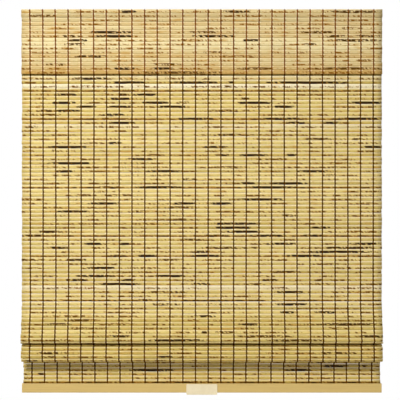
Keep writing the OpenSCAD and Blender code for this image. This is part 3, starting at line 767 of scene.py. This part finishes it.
@dataclass
class FoldWalk:
    """Side view of the gathered mat as a walk in millimetres, headed from straight down towards the front.

    It starts just under the straight mat.
    """

    drop_y: float
    fold_top: float
    slat_pitch: float
    fold_gap: float = 0.4
    yarn_front: float = 2.1
    lead_r: float = 120.0
    front_slope: float = 14.0
    front_run: float = 66.0
    fold_r: float = 8.0
    gather_r: float = 4.0
    gather_drop: float = 44.0
    second_reveal: float = 46.0
    hem_reveal: float = 57.0
    front_lean: float = 2.5
    knee_rise: float = 6.0
    knee_r: float = 8.0
    knee_turn: float = 65.0
    knee_run: float = 5.0
    face_slope: float = 4.0
    back_lean: float = 7.8
    groove: float = 10.7
    arc_step: float = 6.0
    state: Triple = field(init=False)
    line: list[Pair] = field(init=False)

    def go(self, length: float) -> None:
        """Walks straight on.

        Args:
            length: length of the way.
        """
        y, z, heading = self.state
        self.state = (y - math.sin(heading) * length, z - math.cos(heading) * length, heading)
        self.line.append(self.state[:2])

    def drop_to(self, height: float) -> None:
        """Walks straight on to a height."""
        self.go((self.state[1] - height) / math.cos(self.state[2]))

    def swing(self, radius: float, degrees: float) -> None:
        """Walks along an arc in small steps.

        Args:
            radius: radius of the arc.
            degrees: turn of the heading, to the front above 0.
        """
        y, z, heading = self.state
        side = math.copysign(radius, degrees)
        steps = math.ceil(abs(degrees) / self.arc_step)
        for k in range(1, steps + 1):
            turned = heading + math.radians(degrees) * k / steps
            y_now = y - side * (math.cos(heading) - math.cos(turned))
            z_now = z + side * (math.sin(heading) - math.sin(turned))
            self.state = (y_now, z_now, turned)
            self.line.append(self.state[:2])

    def joints(self) -> list[Pair]:
        """Walks round both folds and down the hem.

        Returns:
            The places of the joints between slats, in metres.
        """
        self.state = (self.drop_y, self.fold_top - self.fold_gap, 0.0)
        self.line = [self.state[:2]]
        gather_z = self.fold_top - self.gather_drop
        self.swing(self.lead_r, self.front_slope)
        self.go(self.front_run)
        self.swing(self.fold_r, -180 - self.front_slope)
        front_bottom = self.state[1] - self.fold_r - self.yarn_front
        self.drop_to(gather_z)
        self.swing(self.gather_r, 90)
        found = self.divide()
        self.line = self.line[-1:]
        self.swing(self.gather_r, 90 + self.front_lean)
        self.drop_to(front_bottom + self.knee_rise)
        self.swing(self.knee_r, self.knee_turn)
        self.go(self.knee_run)
        self.swing(self.knee_r, self.face_slope - self.front_lean - self.knee_turn)
        second_bottom = front_bottom - self.second_reveal
        bend_fall = self.fold_r * (1 + math.sin(math.radians(self.face_slope))) + self.yarn_front
        self.drop_to(second_bottom + bend_fall)
        self.swing(self.fold_r, self.back_lean - 180 - self.face_slope)
        self.drop_to(gather_z)
        self.swing(self.gather_r, 90 - self.back_lean)
        found += self.divide()[1:]
        self.line = self.line[-1:]
        self.swing(self.gather_r, 90)
        self.drop_to(second_bottom - self.hem_reveal - self.groove)
        found += self.divide()[1:]
        return [(y * MM, z * MM) for y, z in found]

    def divide(self) -> list[Pair]:
        """Divides the line into slats of even height.

        Returns:
            The ends of the slats.
        """
        line = np.array(self.line)
        run = path_lengths(line)
        at = np.linspace(0.0, run[-1], round(run[-1] / self.slat_pitch) + 1)
        return list(zip(np.interp(at, run, line[:, 0]), np.interp(at, run, line[:, 1])))


@dataclass
class WovenMat:
    """A mat of split bamboo slats held by twisted pairs of warp yarns, with its rows counted from the top.

    A mark is given as its two ends, counted in warp yarns from the left, and its depth from 0 to 1.
    A stained row has a brown band along it, or is pale where its stain is below 0. A toned row is straw at
    0, ochre at 1 and amber at 2.
    """

    MARKS: ClassVar[int] = 5
    NO_MARK: ClassVar[Triple] = (9.0, MM, 0.0)
    MAT_STEP: ClassVar[float] = 31.0
    ROW_STEP: ClassVar[float] = 1.37
    width: ClassVar[float] = DROP_HIGH.x - DROP_LOW.x
    yarn_count: ClassVar[int] = 28
    yarn_inset: ClassVar[float] = 21.5 * MM

    name: str
    nodes: tuple[str, str]
    body: Body
    joints: list[Pair]
    seed: int
    marks: dict[int, list[Triple]] = field(default_factory=dict)
    stained: dict[int, float] = field(default_factory=dict)
    toned: dict[int, float] = field(default_factory=dict)
    tone: Pair = (0.45, 0.3)
    warmth: Pair = (0.5, 0.22)
    faint: float = 1.6
    faint_half_mm: Pair = (26.0, 0.55)
    faint_depth: Pair = (0.30, 0.72)
    slat_t: float = 2.2 * MM
    thinner: Pair = (0.93, 1.0)
    ragged_mm: Pair = (-0.5, 0.9)
    sway: tuple[Pair, Pair] = ((0.10 * MM, 9.0), (0.07 * MM, 31.0))
    swell: Pair = (0.04, 14.0)
    gap: float = 0.38 * MM
    pinch: float = 0.6 * MM
    pinch_reach: float = 4.5 * MM
    yarn_flat: Pair = (2.0 * MM, 0.56 * MM)
    yarn_sides: int = 5
    yarn_steps: int = 4
    yarn_sway: float = 0.5 * MM
    yarn_rise: float = 1.55 * MM
    yarn_fullness: float = 0.6
    yarn_lean_mm: float = 0.4
    yarn_wander: float = 0.11
    section: tuple[Pair, ...] = (
        (1.0, 0.36), (0.88, 0.80), (0.42, 1.0), (-0.42, 1.0), (-0.88, 0.80), (-1.0, 0.36),
        (-1.0, -0.38), (-0.75, -0.86), (0.75, -0.86), (1.0, -0.38),
    )
    line: np.ndarray = field(init=False)
    along: np.ndarray = field(init=False)
    front: np.ndarray = field(init=False)
    joint_front: np.ndarray = field(init=False)

    def __post_init__(self) -> None:
        """Works out the slats' directions, their front normals and those at the joints, as (y, z)."""
        self.line = np.array(self.joints)
        self.along = unit(np.diff(self.line, axis=0))
        self.front = np.stack([self.along[:, 1], -self.along[:, 0]], axis=-1)
        shared = self.front[:-1] + self.front[1:]
        self.joint_front = unit(np.concatenate([self.front[:1], shared, self.front[-1:]]))

    @classmethod
    def yarn_step(cls) -> float:
        """Distance between warp yarns."""
        return (cls.width - 2 * cls.yarn_inset) / (cls.yarn_count - 1)

    @classmethod
    def yarn_x(cls, bay: float) -> float:
        """Place of a warp yarn across the mat, or of a part of a bay after it."""
        return -cls.width / 2 + cls.yarn_inset + bay * cls.yarn_step()

    def stations(self) -> tuple[np.ndarray, np.ndarray]:
        """Places across the mat where a slat has points.

        Returns:
            The places, and how much the yarns pinch a slat there.
        """
        half = self.width / 2
        at = [(-half, 0.0), (half, 0.0)]
        for i in range(self.yarn_count):
            x = self.yarn_x(i)
            at += [(x - self.pinch_reach, 0.0), (x, 1.0), (x + self.pinch_reach, 0.0)]
        at.sort()
        return np.array([a for a, _ in at]), np.array([p for _, p in at])

    def slat_marks(self, row: int, rng: random.Random) -> list[Triple]:
        """Dark marks of a slat: the ones that stand out, then faint ones at random.

        Args:
            row: number of the slat from the top.
            rng: source of the faint marks.

        Returns:
            As many (middle, half length, depth) as a slat holds, with empty ones at the end.
        """
        found = []
        for first, last, depth in self.marks.get(row, []):
            a = self.yarn_x(first)
            b = self.yarn_x(last)
            found.append(((a + b) / 2, (b - a) / 2, depth))
        typical, spread = self.faint_half_mm
        for _ in range(self.MARKS):
            chance = rng.random()
            middle = rng.uniform(-0.5, 0.5) * self.width
            half = rng.lognormvariate(math.log(typical), spread) * MM
            depth = rng.uniform(*self.faint_depth)
            apart = all(abs(middle - m) > half + h for m, h, _ in found)
            if chance < self.faint / self.MARKS and apart:
                found.append((middle, half, depth))
        return (found + [self.NO_MARK] * self.MARKS)[: self.MARKS]

    def slat_tint(self, row: int, rng: random.Random) -> Triple:
        """Tone, warmth and stain of a slat.

        Args:
            row: number of the slat from the top.
            rng: source of the tints that aren't given.

        Returns:
            The three values.
        """
        tone, warmth = (min(1.0, max(0.0, rng.gauss(*tint))) for tint in (self.tone, self.warmth))
        return (self.toned.get(row, tone), warmth, self.stained.get(row, 0.0))

    def slat_rings(self, row: int, at: np.ndarray, pinch: np.ndarray, rng: random.Random) -> np.ndarray:
        """Points of one slat, a little uneven and cut off unevenly.

        Args:
            row: number of the slat from the top.
            at: places across the mat.
            pinch: share of the yarns' pinch at those places.
            rng: source of the unevenness.

        Returns:
            The points as (ring, corner, xyz).
        """
        start, end = self.line[row], self.line[row + 1]
        length = float(np.linalg.norm(end - start))
        bends = [float(np.clip(self.joint_front[row + k] @ self.front[row], -1, 1)) for k in (0, 1)]
        tuck = [self.slat_t / 2 * math.tan(math.acos(bend)) for bend in bends]
        phase = [rng.uniform(0, math.tau) for _ in range(3)]
        waves = zip(self.sway, phase)
        sway = sum(size * np.sin(at * often + turn) for (size, often), turn in waves)
        swell = 1 + self.swell[0] * np.sin(at * self.swell[1] + phase[2])
        inset = (self.gap + self.pinch * pinch) / 2
        high = length / 2 - tuck[0] - inset
        low = -length / 2 + tuck[1] + inset
        thick = self.slat_t / 2 * rng.uniform(*self.thinner)
        x = at.copy()
        x[0] += rng.uniform(*self.ragged_mm) * MM
        x[-1] -= rng.uniform(*self.ragged_mm) * MM
        section = np.array(self.section)
        middle = (high + low)[:, None] / 2
        half = (high - low)[:, None] / 2
        up = middle + half * section[None, :, 0] + sway[:, None]
        out = thick * np.minimum(swell, 1.0)[:, None] * section[None, :, 1]
        yz = (start + end) / 2 - self.along[row] * up[..., None] + self.front[row] * out[..., None]
        return np.concatenate([np.broadcast_to(x[:, None, None], (*up.shape, 1)), yz], axis=-1)

    def build_slats(self) -> MeshMaker:
        """Builds the slats as closed crowned strips with a narrow gap between them.

        Returns:
            The mesh with the slat attributes.
        """
        maker = MeshMaker(f"{self.name}_slats")
        rng = random.Random(self.seed)
        at, pinch = self.stations()
        heights = np.array(self.section)[None, :, 0]
        rows = len(self.along)
        for row in range(rows):
            rings = self.slat_rings(row, at, pinch, rng)
            own = self.seed * self.MAT_STEP + row * self.ROW_STEP
            place = np.stack(np.broadcast_arrays(rings[..., 0], heights, own), axis=-1)
            tint = self.slat_tint(row, rng)
            vectors = {"slat_place": place, "slat_tint": np.broadcast_to(tint, place.shape)}
            for index, mark in enumerate(self.slat_marks(row, rng)):
                vectors[f"streak_{index}"] = np.broadcast_to(mark, place.shape)
            maker.tube(rings, (row, rows), **vectors)
        return maker

    def build_yarns(self) -> MeshMaker:
        """Builds the warp yarns: pairs that cross between slats, one in front and one behind.

        Returns:
            The mesh with the rest places.
        """
        maker = MeshMaker(f"{self.name}_threads")
        rng = random.Random(self.seed + 1)
        rows = len(self.front)
        share = np.arange(rows * self.yarn_steps + 1) / self.yarn_steps
        row = np.minimum(share.astype(int), rows - 1)
        part = share - row
        near = np.where(part < 0.5, row, row + 1)
        weight = np.sin(math.pi * part)[:, None]
        normal = unit(self.front[row] * weight + self.joint_front[near] * (1 - weight))
        centre = self.line[row] * (1 - part[:, None]) + self.line[row + 1] * part[:, None]
        turn = np.arange(self.yarn_sides) * math.tau / self.yarn_sides
        wide, thick = self.yarn_flat
        for i in range(self.yarn_count):
            lean = rng.uniform(-self.yarn_lean_mm, self.yarn_lean_mm) * MM
            wander = lean * np.sin(share * self.yarn_wander + rng.uniform(0, math.tau))
            for strand in (0, 1):
                angle = math.pi * (share + strand)
                wave = np.sin(angle)
                off = self.yarn_rise * np.sign(wave) * np.abs(wave) ** self.yarn_fullness
                x = self.yarn_x(i) + wander - self.yarn_sway * np.cos(angle)
                yz = centre + normal * off[:, None]
                rings = np.empty((len(share), self.yarn_sides, 3))
                rings[..., 0] = x[:, None] + wide * np.cos(turn)[None]
                rings[..., 1:] = yz[:, None] - normal[:, None] * (thick * np.sin(turn))[None, :, None]
                maker.tube(rings, (2 * i + strand, 2 * self.yarn_count), rest_place=rings)
        return maker

    def dress(self, slats: bpy.types.Material, yarns: bpy.types.Material) -> list[bpy.types.Object]:
        """Makes both pieces, and puts them in the place of their solids.

        Args:
            slats: finish of the slats.
            yarns: finish of the warp yarns.

        Returns:
            The slats and the yarns.
        """
        pieces = [self.build_slats().build(slats), self.build_yarns().build(yarns)]
        for piece, node, slot in zip(pieces, self.nodes, (Slot.BAMBOO, Slot.YARN)):
            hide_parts(node)
            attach(piece, self.body.value)
        return pieces


@dataclass
class Shade:
    """The woven part of the shade: valance, straight drop and gathered folds."""

    valance_rows: int = 16
    valance_lean: Triple = (4.5 * MM, 4.6425 * MM, 1.6125 * MM)
    drop_rows: int = 72
    drop_y: float = (DROP_LOW.y + DROP_HIGH.y) / 2
    drop_top: float = DROP_HIGH.z
    bamboo: BambooFinish = BambooFinish("split_bamboo", (0.765, 0.595, 0.215), 0.50)
    pale_bamboo: BambooFinish = BambooFinish(
        "pale_bamboo", (0.770, 0.645, 0.335), 0.50,
        top=(0.79, 0.69, 0.43), ochre=(0.55, 0.375, 0.130), olive=(0.53, 0.40, 0.160),
        top_highlight=0.55, shade=0.1, ridge_highlight=0.6, speck=0.35,
    )
    yarn: YarnFinish = YarnFinish("brown_cotton", (0.070, 0.025, 0.002), 0.9, light=(0.165, 0.063, 0.008))
    valance_yarn: YarnFinish = YarnFinish(
        "red_brown_cotton", (0.150, 0.044, 0.004), 0.9, light=(0.28, 0.100, 0.018)
    )

    VALANCE_MARKS: ClassVar[dict[int, list[Triple]]] = {
        0: [(7.0, 8.4, 0.9), (15.0, 17.5, 0.7), (23.3, 27.6, 0.65)],
        5: [(4.7, 8.0, 0.85), (12.5, 14.8, 0.6), (21.1, 24.0, 0.62)],
        6: [(4.9, 8.2, 0.95), (12.5, 16.2, 0.8), (25.3, 27.6, 0.65)],
        7: [(2.8, 4.5, 0.78), (16.7, 18.1, 0.8), (23.3, 27.6, 0.7)],
        11: [(3.5, 6.1, 0.68), (13.4, 18.2, 0.4)],
        13: [(1.2, 2.9, 0.55), (9.3, 12.1, 0.5)],
        14: [(6.5, 8.3, 0.75), (9.6, 11.3, 0.85), (16.2, 19.1, 0.5), (21.9, 27.7, 0.55)],
        15: [(8.4, 15.4, 0.6), (20.4, 27.7, 0.35)],
    }
    VALANCE_TONED: ClassVar[dict[int, float]] = {5: 0.9, 6: 0.8, 11: 1.4, 14: 1.35, 15: 1.75}
    DROP_MARKS: ClassVar[dict[int, list[Triple]]] = {
        16: [(3.2, 6.3, 0.8)],
        17: [(6.2, 9.3, 1.0), (10.8, 15.0, 0.9), (15.4, 16.2, 0.9), (18.4, 25.6, 1.0)],
        20: [(1.6, 4.0, 0.75), (8.1, 10.1, 1.0)],
        21: [(6.0, 8.1, 0.85)],
        22: [(1.6, 3.6, 1.0), (8.7, 11.1, 1.0), (16.2, 19.2, 1.0), (25.1, 27.9, 1.0)],
        23: [(3.6, 5.2, 0.95), (6.0, 8.1, 0.9), (9.8, 12.4, 0.95), (19.0, 20.8, 0.95)],
        24: [(2.0, 3.9, 0.95), (13.4, 17.8, 0.5)],
        25: [(5.6, 7.4, 0.8)],
        26: [(11.2, 14.5, 0.9), (18.1, 21.8, 0.85), (24.0, 27.8, 0.95)],
        27: [(6.1, 8.3, 1.0), (20.0, 21.8, 0.75), (23.0, 24.4, 0.85)],
        32: [(6.1, 7.2, 0.85)],
        33: [(1.1, 4.6, 0.9), (13.6, 15.6, 0.85), (26.1, 27.8, 0.8)],
        35: [(16.3, 18.8, 0.9), (20.1, 21.0, 0.85)],
        36: [(7.5, 9.9, 0.8)],
        37: [(1.1, 5.1, 0.95)],
        39: [(2.0, 3.5, 0.85), (9.1, 12.1, 0.9), (21.0, 23.6, 0.9)],
        42: [(16.5, 17.7, 0.9), (18.9, 21.9, 0.95)],
        43: [(8.1, 12.0, 0.95), (17.0, 21.0, 1.0)],
        46: [(16.3, 20.3, 0.95)],
        47: [(4.5, 7.2, 0.9), (11.2, 13.1, 0.9), (14.1, 15.9, 0.9)],
        49: [(2.1, 4.6, 0.9)],
        52: [(14.2, 18.1, 0.8)],
        53: [(14.2, 17.7, 0.95), (22.1, 23.7, 0.8)],
        54: [(15.4, 18.1, 0.9), (0.5, 2.8, 0.7)],
        55: [(17.2, 20.1, 0.85), (21.4, 23.0, 0.8)],
        57: [(4.2, 5.8, 0.95), (7.0, 7.8, 0.95), (18.6, 21.0, 0.85), (25.1, 27.8, 0.8)],
        58: [(1.2, 3.1, 0.9), (22.2, 27.8, 0.7), (13.4, 18.0, 0.65)],
        59: [(12.3, 14.4, 0.7), (21.4, 26.9, 0.9)],
        60: [(8.3, 10.0, 0.95), (12.7, 15.1, 1.0), (20.1, 23.1, 0.9)],
        63: [(4.3, 6.8, 0.9)],
        65: [(3.6, 6.7, 0.9), (9.7, 12.2, 0.95)],
        66: [(2.6, 4.6, 0.75), (7.0, 8.4, 0.9)],
        67: [(5.2, 8.7, 1.0)],
        69: [(19.1, 21.9, 0.9), (9.2, 12.6, 0.6)],
    }
    DROP_STAINED: ClassVar[dict[int, float]] = {
        16: -0.3, 18: -0.8, 19: 0.75, 26: 0.75, 28: -0.35, 43: 0.8, 55: 0.75, 60: 0.75, 68: -0.6, 71: 0.95,
    }
    FOLD_MARKS: ClassVar[dict[int, list[Triple]]] = {
        0: [(19.1, 22.0, 0.8), (9.3, 11.8, 0.6)],
        2: [(19.6, 20.8, 0.85), (22.3, 24.0, 0.8)],
        3: [(12.8, 14.6, 0.8)],
        5: [(1.1, 3.4, 0.65), (16.3, 18.0, 0.75), (22.2, 27.8, 0.7)],
        8: [(6.1, 8.0, 0.75), (16.0, 20.8, 0.6)],
        9: [(9.1, 14.0, 0.8), (18.4, 23.5, 0.65)],
        27: [(0.6, 3.0, 0.68), (21.9, 26.0, 0.6)],
        28: [(1.0, 2.9, 0.55), (9.9, 11.3, 0.9)],
        54: [(23.0, 25.2, 0.9)],
        55: [(7.7, 11.4, 1.0), (20.2, 22.2, 0.95)],
    }
    FOLD_TONE: ClassVar[float] = 0.95
    SECOND_FACE: ClassVar[range] = range(23, 30)
    HEM_FIRST: ClassVar[int] = 50
    # Dark band along the last hem row above the rail: painted shade where the mat enters the rail's groove,
    # and a darker slat
    HEM_SHADE_AND_STAIN: ClassVar[float] = 0.9
    HEM_SHADE_AND_STAIN_UP: ClassVar[int] = 3

    @property
    def slat_pitch(self) -> float:
        """Height of a row, from the straight mat."""
        return (DROP_HIGH.z - DROP_LOW.z) / self.drop_rows

    def straight(self, y: float, top: float, rows: int) -> list[Pair]:
        """Joints of a mat that hangs straight."""
        return [(y, top - i * self.slat_pitch) for i in range(rows + 1)]

    def valance_joints(self) -> list[Pair]:
        """Places the joints of the valance, which leans over the bevelled batten and then hangs straight.

        Returns:
            The joints from the top.
        """
        low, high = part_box("valance_mat")
        y = high.y - WovenMat.slat_t / 2
        joints = self.straight(y, low.z + self.valance_rows * self.slat_pitch, self.valance_rows)
        leaning = [(y - lean, z) for lean, (_, z) in zip(self.valance_lean, joints)]
        return leaning + joints[len(leaning) :]

    def valance_mat(self) -> WovenMat:
        """Plans the pale, closely woven valance.

        Returns:
            The mat.
        """
        return WovenMat(
            "valance", ("valance_mat", "valance_yarns"), Body.HEADRAIL, self.valance_joints(),
            seed=11, marks=self.VALANCE_MARKS, toned=self.VALANCE_TONED,
            tone=(0.35, 0.3), faint=1.0, gap=0.16 * MM,
        )

    def drop_mat(self) -> WovenMat:
        """Plans the straight part of the main mat.

        Returns:
            The mat.
        """
        return WovenMat(
            "drop", ("drop_mat", "drop_yarns"), Body.HEADRAIL,
            self.straight(self.drop_y, self.drop_top, self.drop_rows),
            seed=23, marks=self.DROP_MARKS, stained=self.DROP_STAINED,
        )

    def fold_mat(self) -> WovenMat:
        """Plans the gathered part of the main mat, darker on the second fold's face and the hem.

        Returns:
            The mat.
        """
        walk = FoldWalk(self.drop_y / MM, DROP_LOW.z / MM, self.slat_pitch / MM).joints()
        darker = (*self.SECOND_FACE, *range(self.HEM_FIRST, len(walk)))
        return WovenMat(
            "fold", ("fold_mat", "fold_yarns"), Body.BOTTOM_RAIL, walk,
            seed=37, marks=self.FOLD_MARKS, stained={len(walk) - self.HEM_SHADE_AND_STAIN_UP: self.HEM_SHADE_AND_STAIN},
            toned={row: self.FOLD_TONE for row in darker},
        )

    def build(self) -> list[bpy.types.Object]:
        """Builds the three mats, and gives the straight one's pieces their own mesh data.

        Returns:
            The slats and yarns of the mats.
        """
        bamboo = self.bamboo.material()
        yarn = self.yarn.material()
        valance = self.valance_mat().dress(self.pale_bamboo.material(), self.valance_yarn.material())
        drop = self.drop_mat().dress(bamboo, yarn)
        for piece in drop:
            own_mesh(piece)
        return valance + drop + self.fold_mat().dress(bamboo, yarn)


# Lift cords


@dataclass
class LiftCord:
    """Braided lift cord: a run along the headrail and over its roller, and the length down the back."""

    side: Side
    solid_r: float = 0.7 * MM
    wrap_r: float = 4.5 * MM
    wrap_points: int = 12
    spacing: float = 0.6 * MM
    radius: float = 0.68 * MM
    braid: float = 2.4 * MM
    braid_relief: float = 0.07
    corners: int = 10
    node: str = field(init=False)
    spool_x: float = field(init=False)
    cord_x: float = field(init=False)
    cord_y: float = field(init=False)
    roller_z: float = field(init=False)
    bottom_z: float = field(init=False)

    def __post_init__(self) -> None:
        """Measures the solid cord: its ends and where it passes its roller, as on the right side."""
        self.node = f"lift_cord_{self.side.name.lower()}"
        low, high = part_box(self.node)
        self.spool_x, outer_x = sorted((abs(low.x), abs(high.x)))
        self.cord_x = outer_x - self.solid_r
        self.cord_y = (low.y + high.y) / 2
        self.roller_z = high.z - self.solid_r - self.wrap_r
        self.bottom_z = low.z

    def braided(self, name: str, x: np.ndarray, z: np.ndarray) -> MeshMaker:
        """Builds a braided tube in the plane of its roller.

        Args:
            name: name of the piece.
            x: places across the shade along the cord, close together, on the right side.
            z: heights along the cord.

        Returns:
            The mesh.
        """
        maker = MeshMaker(name)
        path = np.stack([x * self.side.value, np.full(len(x), self.cord_y), z], axis=-1)
        across = np.array([0.0, 1.0, 0.0])
        other = np.cross(unit(np.gradient(path, axis=0)), across)
        turn = np.arange(self.corners) * math.tau / self.corners
        weave = math.tau * path_lengths(path)[:, None] / self.braid
        plait = np.sin(2 * turn[None] + weave) * np.sin(2 * turn[None] - weave)
        thick = self.radius * (1 + self.braid_relief * plait)[..., None]
        ring = np.cos(turn)[None, :, None] * across + np.sin(turn)[None, :, None] * other[:, None]
        rings = path[:, None] + thick * ring
        maker.tube(rings, (0, 1), rest_place=rings)
        return maker

    def build(self, material: bpy.types.Material) -> list[bpy.types.Object]:
        """Builds both lengths in the place of the solid cord.

        Args:
            material: finish of the cord.

        Returns:
            The run along the headrail and the length down the back.
        """
        label = self.side.name.lower()
        roller_x = self.cord_x - self.wrap_r
        flat = np.arange(self.spool_x, roller_x, self.spacing)
        bend = np.linspace(0.0, math.pi / 2, self.wrap_points)
        x = np.concatenate([flat, roller_x + self.wrap_r * np.sin(bend)])
        top = np.full(len(flat), self.roller_z + self.wrap_r)
        z = np.concatenate([top, self.roller_z + self.wrap_r * np.cos(bend)])
        run = self.braided(f"cord_run_{label}", x, z).build(material)
        down = np.arange(self.roller_z, self.bottom_z, -self.spacing)
        drop = self.braided(f"cord_drop_{label}", np.full(len(down), self.cord_x), down).build(material)
        for piece in (run, drop):
            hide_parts(self.node)
            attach(piece, Body.HEADRAIL.value)
        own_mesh(drop)
        return [run, drop]


# Rails, pull and hardware


@dataclass(frozen=True)
class Hardware:
    """Solids that keep their shape and get their finish here, by the finish that they share."""

    FINISHES: ClassVar[dict[Finish, tuple[str, ...]]] = {
        WoodFinish("pine", (0.61, 0.437, 0.150), 0.48): ("bottom_rail", "batten"),
        MouldedFinish("cream_plastic", (0.80, 0.70, 0.475), 0.38, cloud=0.06): (
            "pull_handle", "end_cap_left", "end_cap_right",
        ),
        MouldedFinish("cream_enamel", (0.77, 0.72, 0.60), 0.30, cloud=0.04, skin=0.05, size=25.0): (
            "headrail_channel",
        ),
        MouldedFinish("white_acetal", (0.83, 0.81, 0.75), 0.42, cloud=0.05): (
            "motor_base", "motor_cover", "spool_left", "spool_right", "output_drum", "idler_gear",
            "storage_drum", "cradle_left", "cradle_right", "roller_left", "roller_right",
        ),
        MouldedFinish("clear_nylon", (0.88, 0.87, 0.82), 0.30, cloud=0.05, skin=0.06): (
            "ring_row_upper", "ring_row_middle", "ring_row_lower", "fold_rings", "cord_stops",
        ),
        SteelFinish("zinc_plate", (0.66, 0.66, 0.64), 0.36, brush=(160.0, 160.0, 160.0)): (
            "bracket_left", "bracket_right",
        ),
        SteelFinish("plain_zinc", (0.60, 0.61, 0.62), 0.32, brush=(900.0, 200.0, 900.0)): (
            "batten_screws", "roller_pins",
        ),
        SteelFinish("spring_strip", (0.40, 0.41, 0.44), 0.28, brush=(60.0, 60.0, 2400.0)): ("power_spring",),
    }

    def dress(self) -> list[bpy.types.Object]:
        """Gives each solid its finish.

        Returns:
            The solids.
        """
        solids = []
        for finish, nodes in self.FINISHES.items():
            material = finish.material()
            for node in nodes:
                solids.append(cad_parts[node])
                for slot in solids[-1].material_slots:
                    slot.material = material
        return solids


# Studio


@dataclass(frozen=True)
class Lamp:
    """A square lamp."""

    name: str
    place: Triple
    size: float
    power: float
    tint: Triple = WHITE

    def build(self, target: Triple) -> None:
        """Makes the lamp.

        Args:
            target: place that the lamp faces.
        """
        data = bpy.data.lights.new(self.name, "AREA")
        data.size = self.size
        data.energy = self.power
        data.color = self.tint
        made = add_to_scene(self.name, data)
        made.location = self.place
        made.rotation_euler = (Vector(target) - Vector(self.place)).to_track_quat("-Z", "Y").to_euler()


@dataclass
class Studio:
    """White studio with a pale floor, soft light and the camera in front of the shade."""

    centre: Triple = (-0.0046, 0.0, -0.4775)
    camera_y: float = -2.5222
    lens_mm: float = 89.8
    sensor_mm: float = 36.0
    floor_z: float = -1.25
    floor_r: float = 1.2
    floor_corners: int = 96
    floor_fade: Pair = (0.5, 0.97)
    floor_roughness: float = 0.9
    floor_speck: float = 220.0
    floor_tints: tuple[Triple, Triple] = ((0.86, 0.855, 0.84), (0.90, 0.895, 0.88))
    sky_span: Pair = (-0.8, 0.9)
    sky_light: Pair = (0.01, 0.22)
    lamps: tuple[Lamp, ...] = (
        Lamp("key", (-0.9, -2.3, 1.2), 0.6, 94.0),
        Lamp("fill", (1.6, -2.6, -0.1), 2.0, 5.0, (1.0, 0.88, 0.6)),
        Lamp("back", (0.6, 2.6, 0.9), 2.0, 40.0),
    )

    def camera(self) -> None:
        """Makes the camera, level and square to the shade."""
        data = bpy.data.cameras.new("camera")
        data.sensor_width = self.sensor_mm
        data.lens = self.lens_mm
        made = add_to_scene("camera", data)
        made.location = (self.centre[0], self.camera_y, self.centre[2])
        made.rotation_euler = (math.pi / 2, 0.0, 0.0)
        bpy.context.scene.camera = made

    @staticmethod
    def seen(g: Graph) -> Socket:
        """A mask of the rays that show the background: camera, glossy and transmission."""
        path = g.node("ShaderNodeLightPath").outputs
        return g.most(g.most(path["Is Camera Ray"], path["Is Glossy Ray"]), path["Is Transmission Ray"])

    def world(self) -> None:
        """Makes the world: white where it is seen, softer where it lights."""
        made = bpy.data.worlds.new("studio")
        made.use_nodes = True
        bpy.context.scene.world = made
        g = Graph(made.node_tree)
        light = made.node_tree.nodes["Background"]
        g.feed(light.inputs["Color"], WHITE)
        height = g.split(g.node("ShaderNodeTexCoord").outputs["Generated"])[2]
        g.feed(light.inputs["Strength"], g.ramp(height, self.sky_span, self.sky_light))
        white = g.node("ShaderNodeBackground", {"Color": WHITE, "Strength": 1.0})
        mixed = g.node("ShaderNodeMixShader", {0: self.seen(g), 1: light.outputs[0], 2: white.outputs[0]})
        g.feed(made.node_tree.nodes["World Output"].inputs["Surface"], mixed.outputs[0])

    def floor_material(self) -> bpy.types.Material:
        """Makes the floor's material, which fades to white towards its edge.

        Returns:
            The material.
        """
        material = bpy.data.materials.new("pale_floor")
        material.use_nodes = True
        g = Graph(material.node_tree)
        shader = material.node_tree.nodes["Principled BSDF"]
        g.feed(shader.inputs["Roughness"], self.floor_roughness)
        place = g.object_place()
        g.feed(shader.inputs["Base Color"], g.mix(g.noise(place, self.floor_speck), *self.floor_tints))
        x, y, _ = g.split(place)
        far = g.calc("SQRT", g.add(g.times(x, x), g.times(y, y)))
        fade_start, fade_end = (self.floor_r * share for share in self.floor_fade)
        fade = g.times(g.ramp(far, (fade_start, fade_end)), self.seen(g))
        white = g.node("ShaderNodeEmission", {"Color": WHITE, "Strength": 1.0})
        mixed = g.node("ShaderNodeMixShader", {0: fade, 1: shader.outputs[0], 2: white.outputs[0]})
        g.feed(material.node_tree.nodes["Material Output"].inputs["Surface"], mixed.outputs[0])
        return material

    def floor(self) -> None:
        """Makes the floor, a pale round."""
        mesh = bpy.data.meshes.new("floor")
        turn = np.linspace(0, math.tau, self.floor_corners, endpoint=False)
        points = [(self.floor_r * math.cos(a), self.floor_r * math.sin(a), self.floor_z) for a in turn]
        mesh.from_pydata(points, [], [list(range(len(points)))])
        mesh.materials.append(self.floor_material())
        add_to_scene("floor", mesh)

    def build(self) -> None:
        """Builds the camera, the lamps, the world and the floor."""
        bpy.context.scene.view_settings.view_transform = "Standard"
        self.camera()
        for lamp in self.lamps:
            lamp.build(self.centre)
        self.world()
        self.floor()


def main() -> None:
    """Builds the studio, dresses the shade and reports each piece."""
    logging.basicConfig(level=logging.INFO, format="%(name)s: %(message)s")
    Studio().build()
    pieces = Shade().build()
    braid = YarnFinish("braided_cord", (0.60, 0.52, 0.36), 0.8, light=(0.78, 0.71, 0.55), twist=500.0)
    braid_material = braid.material()
    for side in Side:
        pieces += LiftCord(side).build(braid_material)
    pieces += Hardware().dress()
    for piece in pieces:
        finish = piece.material_slots[0].material.name
        LOG.info("%s: %d faces, %s", piece.name, len(piece.data.polygons), finish)


if __name__ == "__main__":
    main()
